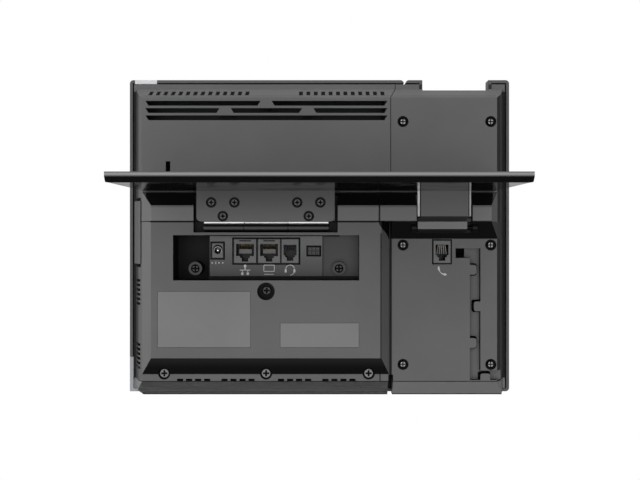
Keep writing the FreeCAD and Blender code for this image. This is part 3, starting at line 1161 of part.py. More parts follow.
def display_and_boards():
    glass = Moulding("display_glass")
    glass.pad("fit", "glass_thick + fit", rect("glass_left_x", "glass_right_x", "glass_low", "glass_top_z",
                                               "glass_corner"))
    node("display_glass", glass)
    module = Moulding("display_module")
    module.pad("board_depth - module_thick - fit", "board_depth - fit",
               rect("module_left_x", f"{WINDOW[1]} + module_margin",
                    f"{WINDOW[2]} - module_margin", f"{WINDOW[3]} + module_margin"))
    node("display_module", module)
    board = Moulding("main_board")
    board.pad("board_depth", "board_depth + board_thick",
              rect("board_left_x", f"{SKIRT_IN} - board_margin",
                   f"{COVER_LOW} + board_margin", f"{TOP_RIM} - board_margin", "corner"))
    board.pocket("board_depth", "board_depth + board_thick",
                 *[circle(x, z, "post_radius + seam") for x, z in FOOT_SCREWS])
    node("main_board", board)
    mat = Moulding("keypad_mat")
    mat.pad("mat_depth", "board_depth",
            rect("board_left_x", f"{SKIRT_IN} - board_margin",
                 "rocker_z - rocker_high / 2 - mat_margin", "dial_z + dial_high / 2 + mat_margin", "corner"))
    node("keypad_mat", mat)
    port_board = Moulding("port_board")
    port_board.pad("port_board_depth", "port_board_depth + board_thick",
                   rect("panel_left - port_board_margin", "panel_right - panel_seat",
                        "panel_low", "panel_top"))
    port_board.pad("board_depth + board_thick", "port_board_depth",
                   rect("panel_left", "panel_left + board_strip", "panel_low + wall", "panel_top - wall"),
                   rect("panel_right - panel_seat - board_strip", "panel_right - panel_seat",
                        "panel_low + wall", "panel_top - wall"))
    node("port_board", port_board)
    standoffs = []
    for x, z in CAVITY_SCREWS + [CENTRE_SCREW]:
        post = rod("y", (x, z), "standoff_radius", ("board_depth + board_thick", "boss_depth"))
        standoffs.append(cut(post, rod("y", (x, z), "screw_shank + pin_fit",
                                       ("board_depth", "boss_depth + 1"))))
    node("board_standoffs", group(*standoffs))


def keys():
    """Every key is a rounded cap with a flange behind the front wall."""
    for label, (x, z, wide, high) in KEYS.items():
        flange = "front_wall + seam + tilt_room" if label == "volume_rocker" else "front_wall + seam"
        key = Moulding(label)
        key.pad("-key_proud", flange, rect_at(x, z, wide, high, "key_corner"))
        key.pad(flange, f"{flange} + key_flange_thick",
                rect_at(x, z, f"{wide} + key_flange * 2", f"{high} + key_flange * 2"))
        node(label, key.round_front("-key_proud", "key_round"))
    ring = Moulding("nav_ring")
    flange = "front_wall + seam + tilt_room"
    ring.pad("-key_proud", flange, circle("nav_x", "nav_z", "nav_outer"))
    ring.pad(flange, f"{flange} + key_flange_thick",
             circle("nav_x", "nav_z", "nav_outer + key_flange + seam"))
    ring.pocket("-key_proud", f"{flange} + key_flange_thick", circle("nav_x", "nav_z", "nav_inner"))
    node("nav_ring", ring.round_front("-key_proud", "key_round"))
    select = Moulding("select_key")
    select.pad("-key_proud", "front_wall + seam * 3", circle("nav_x", "nav_z", "select_radius"))
    node("select_key", select.round_front("-key_proud", "key_round"))


def cradle_works():
    """Loudspeaker behind the sound holes, hook plunger and hook switch."""
    speaker = Moulding("loudspeaker")
    speaker.pad("front_wall", "speaker_back - magnet_thick",
                circle("handset_at", "handset_at_z", "speaker_radius"))
    speaker.pad("speaker_back - magnet_thick", "speaker_back",
                circle("handset_at", "handset_at_z", "speaker_magnet"))
    speaker.pocket("front_wall", "front_wall + wall", circle("handset_at", "handset_at_z", "speaker_cone"))
    node("loudspeaker", speaker)
    plunger = Moulding("hook_plunger")
    rest = "(handset_cup + rest_gap)"
    shoulder = f"({rest} + skirt_wall + hook_travel + seam)"
    plunger.pad(rest, shoulder, circle("handset_at", "hook_z", "hook_radius"))
    plunger.pad(shoulder, f"{shoulder} + wall / 2", circle("handset_at", "hook_z", "hook_flange"))
    node("hook_plunger", plunger.round_front(rest, "key_round"))
    switch = Moulding("hook_switch")
    switch.pad(f"{shoulder} + wall / 2 + rest_gap", "switch_back",
               rect_at("handset_at", "hook_z", "switch_wide", "switch_wide"))
    node("hook_switch", switch)


def handset_loop(inset):
    """Side view of the handset in Y and Z: an arched grip between two cups, moved in by an inset."""
    end, start, grip = f"handset_half - {inset}", f"cup_start + {inset}", f"grip_end + {inset}"
    cup, back, inner = f"handset_cup - {inset}", f"-handset_back_y + {inset}", f"-handset_grip_y - {inset}"
    half_back = "(handset_half - handset_end)"
    outer_arch = f"({half_back} * {half_back} + handset_arch * handset_arch) / (2 * handset_arch)"
    inner_arch = f"(({grip}) * ({grip}) + handset_grip * handset_grip) / (2 * handset_grip)"
    bend = f"handset_end - {inset}"
    low, high = "handset_at_z - ", "handset_at_z + "
    return [
        (cup, f"{high}({start})"), (inner, f"{high}({grip})", inner_arch, -1), (inner, f"{low}({grip})"),
        (cup, f"{low}({start})"), (cup, f"{low}({end})"), ("-handset_end", f"{low}({end})", bend, 1),
        (back, f"{low}{half_back}", outer_arch, 1), (back, f"{high}{half_back}", bend, 1),
        ("-handset_end", f"{high}({end})"), (cup, f"{high}({end})"),
    ]


def handset():
    low_x, high_x = "handset_at - handset_wide / 2", "handset_at + handset_wide / 2"
    form = doc.addObject("PartDesign::Body", "handset_form")
    sketch = form.newObject("Sketcher::SketchObject", "side_view")
    sketch.AttachmentSupport = [(next(f for f in form.Origin.OriginFeatures if f.Role == "YZ_Plane"), "")]
    sketch.MapMode = "FlatFace"
    bind(sketch, "AttachmentOffset.Base.z", low_x)
    draw_loop(sketch, handset_loop(0))
    pad = form.newObject("PartDesign::Pad", "width")
    pad.Profile = sketch
    bind(pad, "Length", "handset_wide")
    doc.recompute()
    back_level = -value("handset_back_y") + 0.01
    sides = (value(low_x), value(high_x))
    edges = [f"Edge{number}" for number, edge in enumerate(form.Shape.Edges, 1)
             if any(abs(edge.CenterOfMass.x - side) < 1e-4 for side in sides)
             and edge.BoundBox.XLength < 1e-4
             and min(vertex.Point.y for vertex in edge.Vertexes) < back_level]
    rounding = form.newObject("PartDesign::Fillet", "long_edges")
    rounding.Base = (pad, edges)
    bind(rounding, "Radius", "handset_edge")
    form.Tip = rounding
    stations = [("-handset_half", "handset_half + 1"), ("-part_line", "handset_half + 1"),
                ("-part_line", "cup_start + part_line"), ("-grip_part", "grip_end"),
                ("-handset_back_y - wall", "grip_part_half")]
    front = [(y, f"handset_at_z - ({z})") for y, z in stations]
    front += [(y, f"handset_at_z + {z}") for y, z in reversed(stations)]
    across = (f"{low_x} - 1", f"{high_x} + 1")
    inside = prism("x", (f"{low_x} + handset_wall", f"{high_x} - handset_wall"),
                   handset_loop("handset_wall"))
    front_region = prism("x", across, front)
    node("handset_back", cut(common(form, front_region), inside))
    holes = []
    for side, count in (("+", 6), ("-", 3)):
        z = f"handset_at_z {side} receiver_off"
        holes.append(rod("y", ("handset_at", z), "sound_hole", (0, "handset_cup + 1")))
        for index in range(count):
            turn = f"{360 / count * index} deg"
            place = (f"handset_at + sound_ring * cos({turn})", f"{z} + sound_ring * sin({turn})")
            holes.append(rod("y", place, "sound_hole", (0, "handset_cup + 1")))
    gap = prism("x", across, [(f"{a} + fit", b) for a, b in front])
    node("handset_face", cut(form, gap, inside, *holes))
    inner = "handset_cup - handset_wall"
    receiver = Moulding("handset_receiver")
    receiver.pad(f"{inner} - receiver_deep", inner,
                 circle("handset_at", "handset_at_z + receiver_off", "receiver_radius"))
    node("handset_receiver", receiver)
    microphone = Moulding("handset_microphone")
    microphone.pad(f"{inner} - microphone_deep", inner,
                   circle("handset_at", "handset_at_z - receiver_off", "microphone_radius"))
    node("handset_microphone", microphone)


# The hinge: leaf of the body on the recess floor, leaf of the stand behind it, then the wide leg.
LEAF_FRONT = "(hinge_y - leaf_set)"
LEG_FRONT = "(hinge_y - leaf_set + leaf_thick)"
LEG_BACK = f"({LEG_FRONT} + leg_thick)"
HINGE_SCREWS = [(f"hinge_screw_{name} {step} hinge_screw_side", "hinge_screw_top") for name in "ab"
                for step in "+-"]
HINGE_SCREWS += [("hinge_screw_a", "hinge_screw_low"), ("hinge_screw_b", "hinge_screw_low")]
LEG_LOW = "(hinge_z + knuckle + leaf_set)"


def hinge():
    axis = ("hinge_y", "hinge_z")
    middle = ("knuckle_left + knuckle_gap / 2", "knuckle_right - knuckle_gap / 2")
    right = ("knuckle_right + knuckle_gap / 2", "leaf_right")
    left = ("leaf_left", "knuckle_left - knuckle_gap / 2")
    plate_low = "hinge_z + knuckle + seam"
    body = fuse(box(("leaf_left", "leaf_right"), (RECESS_FLOOR, LEAF_FRONT + " - leaf_gap"),
                    (plate_low, "leaf_top")),
                box(middle, (RECESS_FLOOR, LEAF_FRONT + " - leaf_gap"), ("hinge_z", "leaf_top")),
                rod("x", axis, "knuckle", middle))
    node("hinge_leaf_body", cut(body, rod("x", axis, "pin_radius + pin_fit", middle)))
    stand = fuse(box(("leaf_left", "leaf_right"), (LEAF_FRONT, LEG_FRONT),
                     (f"{plate_low} + seam", "leaf_top")),
                 *[box(span, (LEAF_FRONT, LEG_FRONT), ("hinge_z", "leaf_top")) for span in (right, left)],
                 *[rod("x", axis, "knuckle", span) for span in (right, left)])
    bores = [rod("x", axis, "pin_radius + pin_play", span) for span in (right, left)]
    holes = [rod("y", place, "hinge_shank + pin_fit", (f"{LEAF_FRONT} - 0.1", f"{LEG_FRONT} + 0.1"))
             for place in HINGE_SCREWS]
    node("hinge_leaf_stand", cut(stand, *bores, *holes))
    node("hinge_pin", group(rod("x", axis, "pin_radius", ("leaf_left - seam", "leaf_right + seam"))))
    node("side_hinge_pin", group(rod("x", axis, "pin_radius", SIDE_PIN)))


def stand():
    """Plate with its two legs, the glossy cover below it and the rubber foot at its end."""
    half = "(stand_wide / 2)"
    top = "stand_under + stand_thick"
    rise = "stand_under + foot_rise"
    end = f"(stand_reach + foot_rise / {DESK_SLOPE})"
    seat = f"({LEG_BACK} + seam)"
    under = "stand_under + under_thick"
    strip = "(stand_reach - foot_strip)"
    plate = prism("x", (f"-{half}", half), [
        ("stand_root", "stand_under"), (seat, "stand_under"), (seat, under), (strip, under), (strip, rise),
        (end, rise), (end, top), ("stand_root", top)])
    leg = prism("y", (LEG_FRONT, LEG_BACK), [
        ("leg_left", LEG_LOW, "leg_corner"), ("leg_right", LEG_LOW, "leg_corner"),
        ("leg_right", under), ("leg_left", under)])
    arm_front = "(hinge_y - side_knuckle / 2)"
    bevel = f"{LEG_BACK} - arm_bevel"
    arm = prism("z", ("arm_low", under), [
        ("-arm_out_x", arm_front), ("-arm_in_x", arm_front), ("-arm_in_x", bevel),
        ("-arm_in_x - arm_bevel", LEG_BACK), ("-arm_out_x + arm_bevel", LEG_BACK), ("-arm_out_x", bevel)])
    link = box(("-side_knuckle_out_x", "-arm_in_x"), (arm_front, "hinge_y"), ("hinge_z", "arm_low + 1"))
    lug_top = "(arm_low - lug_step)"
    lug = box(("-side_knuckle_out_x", "-arm_in_x"), (arm_front, "hinge_y + lug_back"), ("hinge_z", lug_top))
    knuckle = rod("x", ("hinge_y", "hinge_z"), "side_knuckle", ("-side_knuckle_out_x", "-arm_in_x"))
    bore = rod("x", ("hinge_y", "hinge_z"), "pin_radius + pin_play", (f"-{HALF}", "-ridge_start_x"))
    wells = [rod("y", place, "hinge_well", (f"{LEG_BACK} - hinge_screw_sunk", f"{LEG_BACK} + 1"))
             for place in HINGE_SCREWS]
    holes = [rod("y", place, "hinge_shank + pin_fit", (f"{LEG_FRONT} - 1", LEG_BACK))
             for place in HINGE_SCREWS]
    node("stand_plate", cut(fuse(plate, leg, arm, link, lug, knuckle), bore, *wells, *holes))
    node("stand_under_cover", group(box((f"-{half} + seam", f"{half} - seam"), (seat, f"{strip} - fit / 2"),
                                        ("stand_under", under))))
    node("stand_foot", group(prism("x", (f"-{half}", half), [
        (strip, "stand_under"), ("stand_reach", "stand_under"), (end, rise), (strip, rise)])))


def check(things):
    """Stop on any failed object or bad shape before anything is written."""
    failed = [thing.Label for thing in doc.Objects if "Invalid" in thing.State or "Error" in thing.State]
    if failed:
        raise RuntimeError("failed: " + ", ".join(failed))
    for thing in things:
        if thing.Shape.isNull() or not thing.Shape.isValid() or not thing.Shape.Solids:
            raise RuntimeError("bad shape: " + thing.Label)


front_housing()
cradle_front_housing()
rear_covers()
cradle_rear_cover()
small_outer_pieces()
screws()
sockets()
display_and_boards()
keys()
cradle_works()
handset()
hinge()
stand()
doc.recompute()
check(nodes)
for piece in nodes:
    piece.Shape.exportStep(f"parts/{piece.Label}.step")
print(len(nodes), "pieces")
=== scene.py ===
"""Finishes, contacts, printed symbols, key legends and studio for the desk phone."""

import functools
import json
import math

import bmesh
import bpy
from bpy.props import FloatProperty, FloatVectorProperty, PointerProperty
from mathutils import Matrix, Vector


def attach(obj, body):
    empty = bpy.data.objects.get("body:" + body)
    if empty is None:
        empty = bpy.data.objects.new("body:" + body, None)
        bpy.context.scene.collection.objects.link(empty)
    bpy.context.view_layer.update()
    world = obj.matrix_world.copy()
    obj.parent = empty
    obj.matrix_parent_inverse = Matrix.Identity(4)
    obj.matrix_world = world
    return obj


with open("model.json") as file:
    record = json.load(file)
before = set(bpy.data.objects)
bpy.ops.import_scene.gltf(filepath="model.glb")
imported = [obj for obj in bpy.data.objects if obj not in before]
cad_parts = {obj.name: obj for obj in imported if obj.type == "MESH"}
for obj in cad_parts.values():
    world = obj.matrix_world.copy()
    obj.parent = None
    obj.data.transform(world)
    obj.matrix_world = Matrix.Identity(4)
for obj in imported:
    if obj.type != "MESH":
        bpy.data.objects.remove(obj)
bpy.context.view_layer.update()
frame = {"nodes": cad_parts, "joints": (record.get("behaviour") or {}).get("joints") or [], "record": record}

bl_info = {
    "name": "Desk phone looks",
    "version": (1, 0, 0),
    "blender": (4, 5, 0),
    "location": "View3D > Sidebar > Desk phone",
    "description": "Dresses the packed desk phone and sets up its studio",
    "category": "Object",
}

MM = 0.001  # scenes are in metres; sizes here are in millimetres unless they say otherwise

# The phone leans back on its stand. Details are built in the phone's own upright frame, which shares
# the desk frame's origin: X to the right seen from the front, Y to the back, Z up the body.
PRESS = next(joint["axis"] for joint in frame["joints"] if joint["name"] == "select_key_press")
LEAN = math.atan2(-PRESS[2], PRESS[1])
UPRIGHT = Matrix.Rotation(-LEAN, 4, "X")


def upright_points(node):
    """Mesh points of a CAD node in the upright frame."""
    turn = UPRIGHT.inverted()
    return [turn @ vertex.co / MM for vertex in frame["nodes"][node].data.vertices]


@functools.cache
def upright_box(node):
    """Lowest and highest corner of a CAD node in the upright frame."""
    sides = list(zip(*upright_points(node)))
    return tuple(Vector([pick(side) for side in sides]) for pick in (min, max))


def centre_of(points):
    """Middle of the box round some points."""
    return Vector([(min(side) + max(side)) / 2 for side in zip(*points)])


def middle(node):
    return centre_of(upright_box(node))


# Places on the back that several finishes share
RAISED = upright_box("cradle_rear_cover")[1].y  # depth of the raised back
FACE = upright_box("network_jack")[1].y  # depth of the sockets' faces
CREASE = -upright_box("lower_rear_cover")[0].z  # height where the face meets the chin
SPLIT = upright_box("lower_rear_cover")[1].z  # height of the seam between the covers
STEP = upright_box("lower_rear_cover")[0].x  # where the covers meet the handset section
SIDE, TOP = upright_box("upper_rear_cover")[1].x, upright_box("upper_rear_cover")[1].z
HINGE, PIVOT = middle("hinge_pin"), middle("side_hinge_pin")
LOW_SCREWS = 40  # the chin's screws lie below this height
PIN_PITCH = 2.54  # spacing of the pins of the expansion connector
DEEP = 0.95  # how far a wall in shade turns black


# Shader graphs


def maths(operation, swapped=False):
    """A method of Signal that adds a Math node. Where it takes one value, it has no use for the other."""

    def method(self, other=0.0):
        values = (other, self) if swapped else (self, other)
        return self.graph.node("ShaderNodeMath", {"operation": operation}, dict(enumerate(values)))

    return method


class Signal:
    """A shader socket that Python's operators work on."""

    __add__ = __radd__ = maths("ADD")
    __sub__, __rsub__ = maths("SUBTRACT"), maths("SUBTRACT", swapped=True)
    __mul__ = __rmul__ = maths("MULTIPLY")
    __truediv__ = maths("DIVIDE")
    __gt__, __lt__ = maths("GREATER_THAN"), maths("LESS_THAN")
    __abs__, __round__, root = maths("ABSOLUTE"), maths("ROUND"), maths("SQRT")
    least = maths("MINIMUM")

    def __init__(self, graph, socket):
        self.graph = graph
        self.socket = socket

    def __or__(self, other):
        """Two masks together."""
        return 1 - (1 - self) * (1 - other)

    def ramp(self, low, high, start=0.0, end=1.0):
        """Goes smoothly from start at low to end at high."""
        inputs = {"Value": self, "From Min": low, "From Max": high, "To Min": start, "To Max": end}
        return self.graph.node("ShaderNodeMapRange", {"interpolation_type": "SMOOTHSTEP"}, inputs)

    def within(self, low, high, soft=0.05):
        """1 between two places and 0 outside them."""
        return self.ramp(low - soft, low + soft) * self.ramp(high - soft, high + soft, 1.0, 0.0)


class Graph:
    """The nodes of a material or world."""

    def __init__(self, tree):
        self.tree = tree

    def feed(self, target, value):
        """Give an input socket a value or a link."""
        if isinstance(value, Signal):
            self.tree.links.new(value.socket, target)
        else:
            target.default_value = value

    def node(self, kind, settings=None, inputs=None, output=0):
        """A node of this type, with its settings set first and then the values or links of its sockets."""
        made = self.tree.nodes.new(kind)
        for name, setting in (settings or {}).items():
            setattr(made, name, setting)
        for name, value in (inputs or {}).items():
            self.feed(made.inputs[name], value)
        return Signal(self, made.outputs[output])

    def axes(self, vector):
        split = self.node("ShaderNodeSeparateXYZ", inputs={"Vector": vector})
        return [Signal(self, output) for output in split.socket.node.outputs]


class Finish(Graph):
    """One material: a Principled shader, and the nodes that vary it over the surface."""

    def __init__(self, name, **constants):
        self.material = bpy.data.materials.new(name)
        self.material.use_nodes = True
        super().__init__(self.material.node_tree)
        self.shader = self.tree.nodes["Principled BSDF"]
        for socket, value in constants.items():
            self.set(socket.replace("_", " "), value)

    def set(self, socket, value):
        self.feed(self.shader.inputs[socket], value)

    def so_far(self, socket):
        """What already feeds an input of the shader."""
        return Signal(self, self.shader.inputs[socket].links[0].from_socket)

    def place(self):
        """The point on the object, in its own frame and in metres."""
        return self.node("ShaderNodeTexCoord", output="Object")

    def upright(self, output, scale):
        """Three signals: a CAD node's point or normal, turned into the upright frame and scaled."""
        inputs = {"Vector": self.node("ShaderNodeTexCoord", output=output), "Angle": LEAN}
        turned = self.node("ShaderNodeVectorRotate", {"rotation_type": "X_AXIS"}, inputs)
        inputs = {"Vector": turned, "Scale": scale}
        return self.axes(self.node("ShaderNodeVectorMath", {"operation": "SCALE"}, inputs))

    @functools.cached_property
    def point(self):
        """The point on a CAD node: across, depth and up."""
        return self.upright("Object", 1 / MM)

    @functools.cached_property
    def facing(self):
        """The normal of a CAD node: across, depth and up."""
        return self.upright("Normal", 1.0)

    def away(self, place):
        """Distance from a place, seen square on to the back."""
        across, _, up = self.point
        aside, rise = across - place.x, up - place.z
        return (aside * aside + rise * rise).root()

    def over(self, node, grow):
        """1 inside the outline of a node, made larger on all sides."""
        low, high = upright_box(node)
        across, _, up = self.point
        return across.within(low.x - grow, high.x + grow) * up.within(low.z - grow, high.z + grow)

    def head_pattern(self, node, half, reach, start, end):
        """1 on the lit ring of every screw head but for its cross recess."""
        across, _, up = self.point
        lit = 0.0
        for head in screw_heads(node):
            away = self.away(head)
            cross = (abs(across - head.x).least(abs(up - head.z)) < half) * (away < reach)
            lit = away.within(start, end) * (1 - cross) + lit
        return lit

    def noise(self, place, scale, detail=2.0, roughness=0.5):
        inputs = {"Vector": place, "Scale": scale, "Detail": detail, "Roughness": roughness}
        return self.node("ShaderNodeTexNoise", inputs=inputs)

    def mix(self, factor, first, second):
        """A colour between two colours."""
        return self.node("ShaderNodeMix", {"data_type": "RGBA"}, {0: factor, 6: first, 7: second}, output=2)

    def rounded(self, radius):
        """The normal with sharp edges rounded off."""
        return self.node("ShaderNodeBevel", {"samples": 6}, {"Radius": radius * MM})

    def edge(self, rounded):
        """1 on sharp edges and 0 on flat ground."""
        inputs = {0: rounded, 1: self.node("ShaderNodeNewGeometry", output="Normal")}
        return 1 - self.node("ShaderNodeVectorMath", {"operation": "DOT_PRODUCT"}, inputs, output="Value")

    def cast(self, factor, colour):
        """Mix the base colour made so far towards another one."""
        colour = colour if isinstance(colour, Signal) else shade(colour)
        self.set("Base Color", self.mix(factor, self.so_far("Base Color"), colour))

    def blacken(self, mask, strength=1.0):
        """Mix the base colour made so far towards black where a mask is 1; most callers paint shade with it.
        """
        self.cast(mask * strength, bpy.context.scene.phone_colours.black)

    def bump(self, height, strength, distance, normal):
        inputs = {"Height": height, "Strength": strength, "Distance": distance * MM, "Normal": normal}
        self.set("Normal", self.node("ShaderNodeBump", inputs=inputs))


def shade(colour, factor=1.0):
    """A colour times a number, with an alpha of 1."""
    return tuple(min(1.0, part * factor) for part in colour[:3]) + (1.0,)


def moulded(name, colour, roughness, grain=0.35, relief=0.4, radius=0.35, gloss=0.25):
    """Moulded plastic: eroded grain, faint cloudiness, and paler edges that are partly wear and partly a
    painted highlight.
    """
    finish = Finish(name, Specular_IOR_Level=gloss)
    place = finish.place()
    fine = finish.noise(place, 1 / (grain * MM), detail=1.0)
    cloud = finish.noise(place, 22.0, detail=4.0)
    rounded = finish.rounded(radius)
    # Paler edges: partly wear, partly a painted highlight where light catches the bevels.
    wear_and_edge_highlight = finish.edge(rounded).ramp(0.02, 0.3) * finish.noise(place, 160.0).ramp(0.3, 0.7, 0.25, 1.0)
    base = finish.mix(cloud.ramp(0.3, 0.7), shade(colour, 0.95), shade(colour, 1.05))
    speckled = finish.mix(fine.ramp(0.35, 0.75, 0.0, 0.3), base, shade(colour, 1.12))
    finish.set("Base Color", finish.mix(wear_and_edge_highlight, speckled, shade(colour, 1.35)))
    finish.set("Roughness", cloud * 0.1 + fine * 0.08 + (roughness - 0.09))
    finish.bump(fine, relief, 0.03, rounded)
    return finish


def metal(name, colour, roughness, drawn=30.0, radius=0.2):
    """Plated metal with fine lines, drawn out along X or not at all, and small scratches."""
    finish = Finish(name, Metallic=1.0)
    place = finish.place()
    stretched = finish.node("ShaderNodeMapping", inputs={"Vector": place, "Scale": (1.0, drawn, drawn)})
    lines = finish.noise(stretched, 120.0, detail=4.0)
    cloud = finish.noise(place, 60.0, detail=3.0)
    tint = finish.mix(cloud.ramp(0.3, 0.7), shade(colour, 0.9), shade(colour, 1.05))
    finish.set("Base Color", finish.mix(lines.ramp(0.55, 0.75, 0.0, 0.3), tint, shade(colour, 0.7)))
    finish.set("Roughness", lines * 0.15 + (roughness - 0.07))
    finish.bump(lines, 0.15, 0.02, finish.rounded(radius))
    return finish


def polished(name, colour, roughness, **constants):
    """Glossy plastic: clean, with faint smears in its gloss."""
    finish = Finish(name, **constants)
    place = finish.place()
    smear = finish.noise(place, 35.0, detail=5.0, roughness=0.6)
    finish.set("Base Color", finish.mix(smear.ramp(0.35, 0.7), shade(colour, 0.9), shade(colour, 1.15)))
    finish.set("Roughness", smear.ramp(0.4, 0.75, roughness * 0.7, roughness * 2.2))
    finish.bump(finish.noise(place, 60.0), 0.03, 0.05, finish.rounded(0.25))
    return finish


# CAD nodes and new pieces


@functools.cache
def screw_heads(node, apart=3):
    """Middle of every screw head of a node. Points of one head are closer than apart in both ways."""
    cells = {}
    for point in upright_points(node):
        cells.setdefault((round(point.x), round(point.z)), []).append(point)
    middles = []
    while cells:
        points, wave = [], {next(iter(cells))}
        while wave:
            cell = wave.pop()
            points += cells.pop(cell)
            wave.update(other for other in cells if max(abs(a - b) for a, b in zip(cell, other)) < apart)
        middles.append(centre_of(points))
    return middles


def body_with(node):
    """Name of the body that carries a CAD node."""
    groups = frame["record"]["behaviour"]["bodies"]
    return next(name for name, members in groups.items() if node in members)


def dress(finish, *names):
    """Give CAD nodes a material."""
    for name in names:
        data = frame["nodes"][name].data
        data.materials.clear()
        data.materials.append(finish.material)


def piece(name, mesh, body, finish):
    """A new object from a bmesh in the upright frame, riding on a body."""
    mesh.transform(Matrix.Scale(MM, 4))
    bmesh.ops.remove_doubles(mesh, verts=mesh.verts, dist=1e-7)
    bmesh.ops.recalc_face_normals(mesh, faces=mesh.faces)
    made = placed(name, mesh, finish)
    made.matrix_world = UPRIGHT
    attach(made, body)


def placed(name, mesh, finish):
    """A new object from a bmesh, at the origin."""
    data = bpy.data.meshes.new(name)
    mesh.to_mesh(data)
    mesh.free()
    data.materials.append(finish.material)
    return linked(name, data)


def linked(name, data):
    """A new object with this data, linked to the scene."""
    made = bpy.data.objects.new(name, data)
    bpy.context.scene.collection.objects.link(made)
    return made


# Mesh work


def loft(mesh, rings, caps=True):
    """Skin a row of closed rings that all have the same number of points."""
    made = [[mesh.verts.new(place) for place in ring] for ring in rings]
    for before, after in zip(made, made[1:]):
        for index in range(len(before)):
            mesh.faces.new((before[index - 1], before[index], after[index], after[index - 1]))
    if caps:
        mesh.faces.new(list(reversed(made[0])))
        mesh.faces.new(made[-1])


def plate(mesh, outline, near, far, round_off=0.0):
    """A flat shape in X and Z, from depth near to far, with its near edge rounded off."""
    centre = Vector([sum(side) / len(outline) for side in zip(*outline)])

    def ring(depth, inset):
        places = []
        for place in outline:
            away = Vector(place) - centre
            away *= 1.0 - inset / away.length
            places.append((centre.x + away.x, depth, centre.y + away.y))
        return places

    step = round_off if far > near else -round_off
    rings = [ring(near, round_off)] if round_off else []
    loft(mesh, rings + [ring(near + step, 0.0), ring(far, 0.0)])


def arc(x, z, radius, start, end, steps=16):
    """Points on an arc, in degrees from +X towards +Z."""
    turns = [math.radians(start + (end - start) * index / steps) for index in range(steps + 1)]
    return [(x + radius * math.cos(turn), z + radius * math.sin(turn)) for turn in turns]


def rounded_rect(x, z, wide, high, radius, steps=5):
    """Outline of a rectangle with round corners about its middle."""
    points = []
    for side_x, side_z, start in ((1, 1, 0), (-1, 1, 90), (-1, -1, 180), (1, -1, 270)):
        corner = (x + side_x * (wide / 2 - radius), z + side_z * (high / 2 - radius))
        points += arc(*corner, radius, start, start + 90, steps)
    return points


def lefts(places):
    """The way to the left of a path at each of its places."""
    befores, afters = places[:1] + places[:-1], places[1:] + places[-1:]
    alongs = [(after - before).normalized() for before, after in zip(befores, afters)]
    return [Vector((-along.y, along.x)) for along in alongs]


def strip(mesh, sides, near, far, closed=False):
    """A flat band in X and Z between two edges, given as pairs of places."""
    rings = [[(left.x, near, left.y), (right.x, near, right.y), (right.x, far, right.y), (left.x, far, left.y)]
             for left, right in sides]
    loft(mesh, rings + [rings[0]] if closed else rings, caps=not closed)


def stroke(mesh, path, wide, near, far, closed=False):
    """A flat line of this width along a path in X and Z, with sharp corners."""
    places = [Vector(place) for place in path]
    legs = [(after - before).normalized() for before, after in zip(places, places[1:] + places[:1])]
    if not closed:
        legs[-1] = legs[-2]
    befores = legs[-1:] + legs[:-1] if closed else legs[:1] + legs[:-1]
    sides = []
    for place, before, after in zip(places, befores, legs):
        along = (before + after).normalized()
        left = Vector((-along.y, along.x))
        mitre = left * (wide / 2 / max(0.5, along.dot(before)))
        sides.append((place + mitre, place - mitre))
    strip(mesh, sides, near, far, closed)


def ribbon(mesh, x, path, wide, thick):
    """A sprung contact: a flat wire of this width in X that follows a path in Y and Z."""
    places, half = [Vector(place) for place in path], wide / 2
    rings = []
    for place, left in zip(places, lefts(places)):
        upper, lower = place + left * thick / 2, place - left * thick / 2
        rings.append([(x - half, *upper), (x + half, *upper), (x + half, *lower), (x - half, *lower)])
    loft(mesh, rings)


def bar(mesh, half, thick, *ends):
    """A bar between two ends, which reaches from their depths inwards by its thickness."""
    loft(mesh, [[(x - half, y, z), (x + half, y, z), (x + half, y - thick, z), (x - half, y - thick, z)]
                for x, y, z in ends])


def pin(mesh, place, radius, start, end, tip, sides=16):
    """A round pin along Y with a tapered tip at its end."""
    last = 360 * (1 - 1 / sides)
    sizes = ((start, radius), (end - tip, radius), (end - tip / 3, radius * 0.8), (end, radius * 0.35))
    loft(mesh, [[(x, depth, z) for x, z in arc(place.x, place.z, size, 0, last, sides - 1)]
                for depth, size in sizes])


def spread(count, pitch):
    """Places of this many pieces, evenly spaced about 0."""
    return [(index - (count - 1) / 2) * pitch for index in range(count)]


class Pen:
    """Draws flat print in X and Z round one place, between two depths."""

    def __init__(self, place, wide, near, far):
        self.mesh = bmesh.new()
        self.place = place
        self.wide = wide
        self.span = (near, far)

    def moved(self, points):
        return [(self.place.x + x, self.place.z + z) for x, z in points]

    def line(self, *points, factor=1.0, closed=False):
        """A line of the pen's width times a factor."""
        stroke(self.mesh, self.moved(points), self.wide * factor, *self.span, closed)

    def brush(self, points, halves):
        """A line that has its own half width at every place."""
        places = [Vector(place) for place in self.moved(points)]
        sides = [(place + left * half, place - left * half)
                 for place, left, half in zip(places, lefts(places), halves)]
        strip(self.mesh, sides, *self.span)

    def fill(self, outline):
        plate(self.mesh, self.moved(outline), *self.span)

    def box(self, x, z, wide, high, radius):
        self.fill(rounded_rect(x, z, wide, high, radius))

    def type(self, words, size, x=0.0):
        """Type of this size, centred beside the pen's place and facing the user."""
        near, far = self.span
        curve = bpy.data.curves.new("type", "FONT")
        curve.body = words
        curve.size = size * MM
        curve.align_x = "CENTER"
        curve.align_y = "CENTER"
        curve.extrude = (near - far) / 2 * MM
        holder = linked("type", curve)
        bpy.context.view_layer.update()
        shape = bpy.data.meshes.new_from_object(holder.evaluated_get(bpy.context.evaluated_depsgraph_get()))
        centre = centre_of([vertex.co for vertex in shape.vertices])
        level = Matrix.Translation((self.place.x + x, (near + far) / 2, self.place.z))
        turn = Matrix.Rotation(math.pi / 2, 4, "X") @ Matrix.Scale(1 / MM, 4)
        shape.transform(level @ turn @ Matrix.Translation(-centre))
        self.mesh.from_mesh(shape)
        bpy.data.objects.remove(holder)
        bpy.data.curves.remove(curve)
        bpy.data.meshes.remove(shape)


# Settings


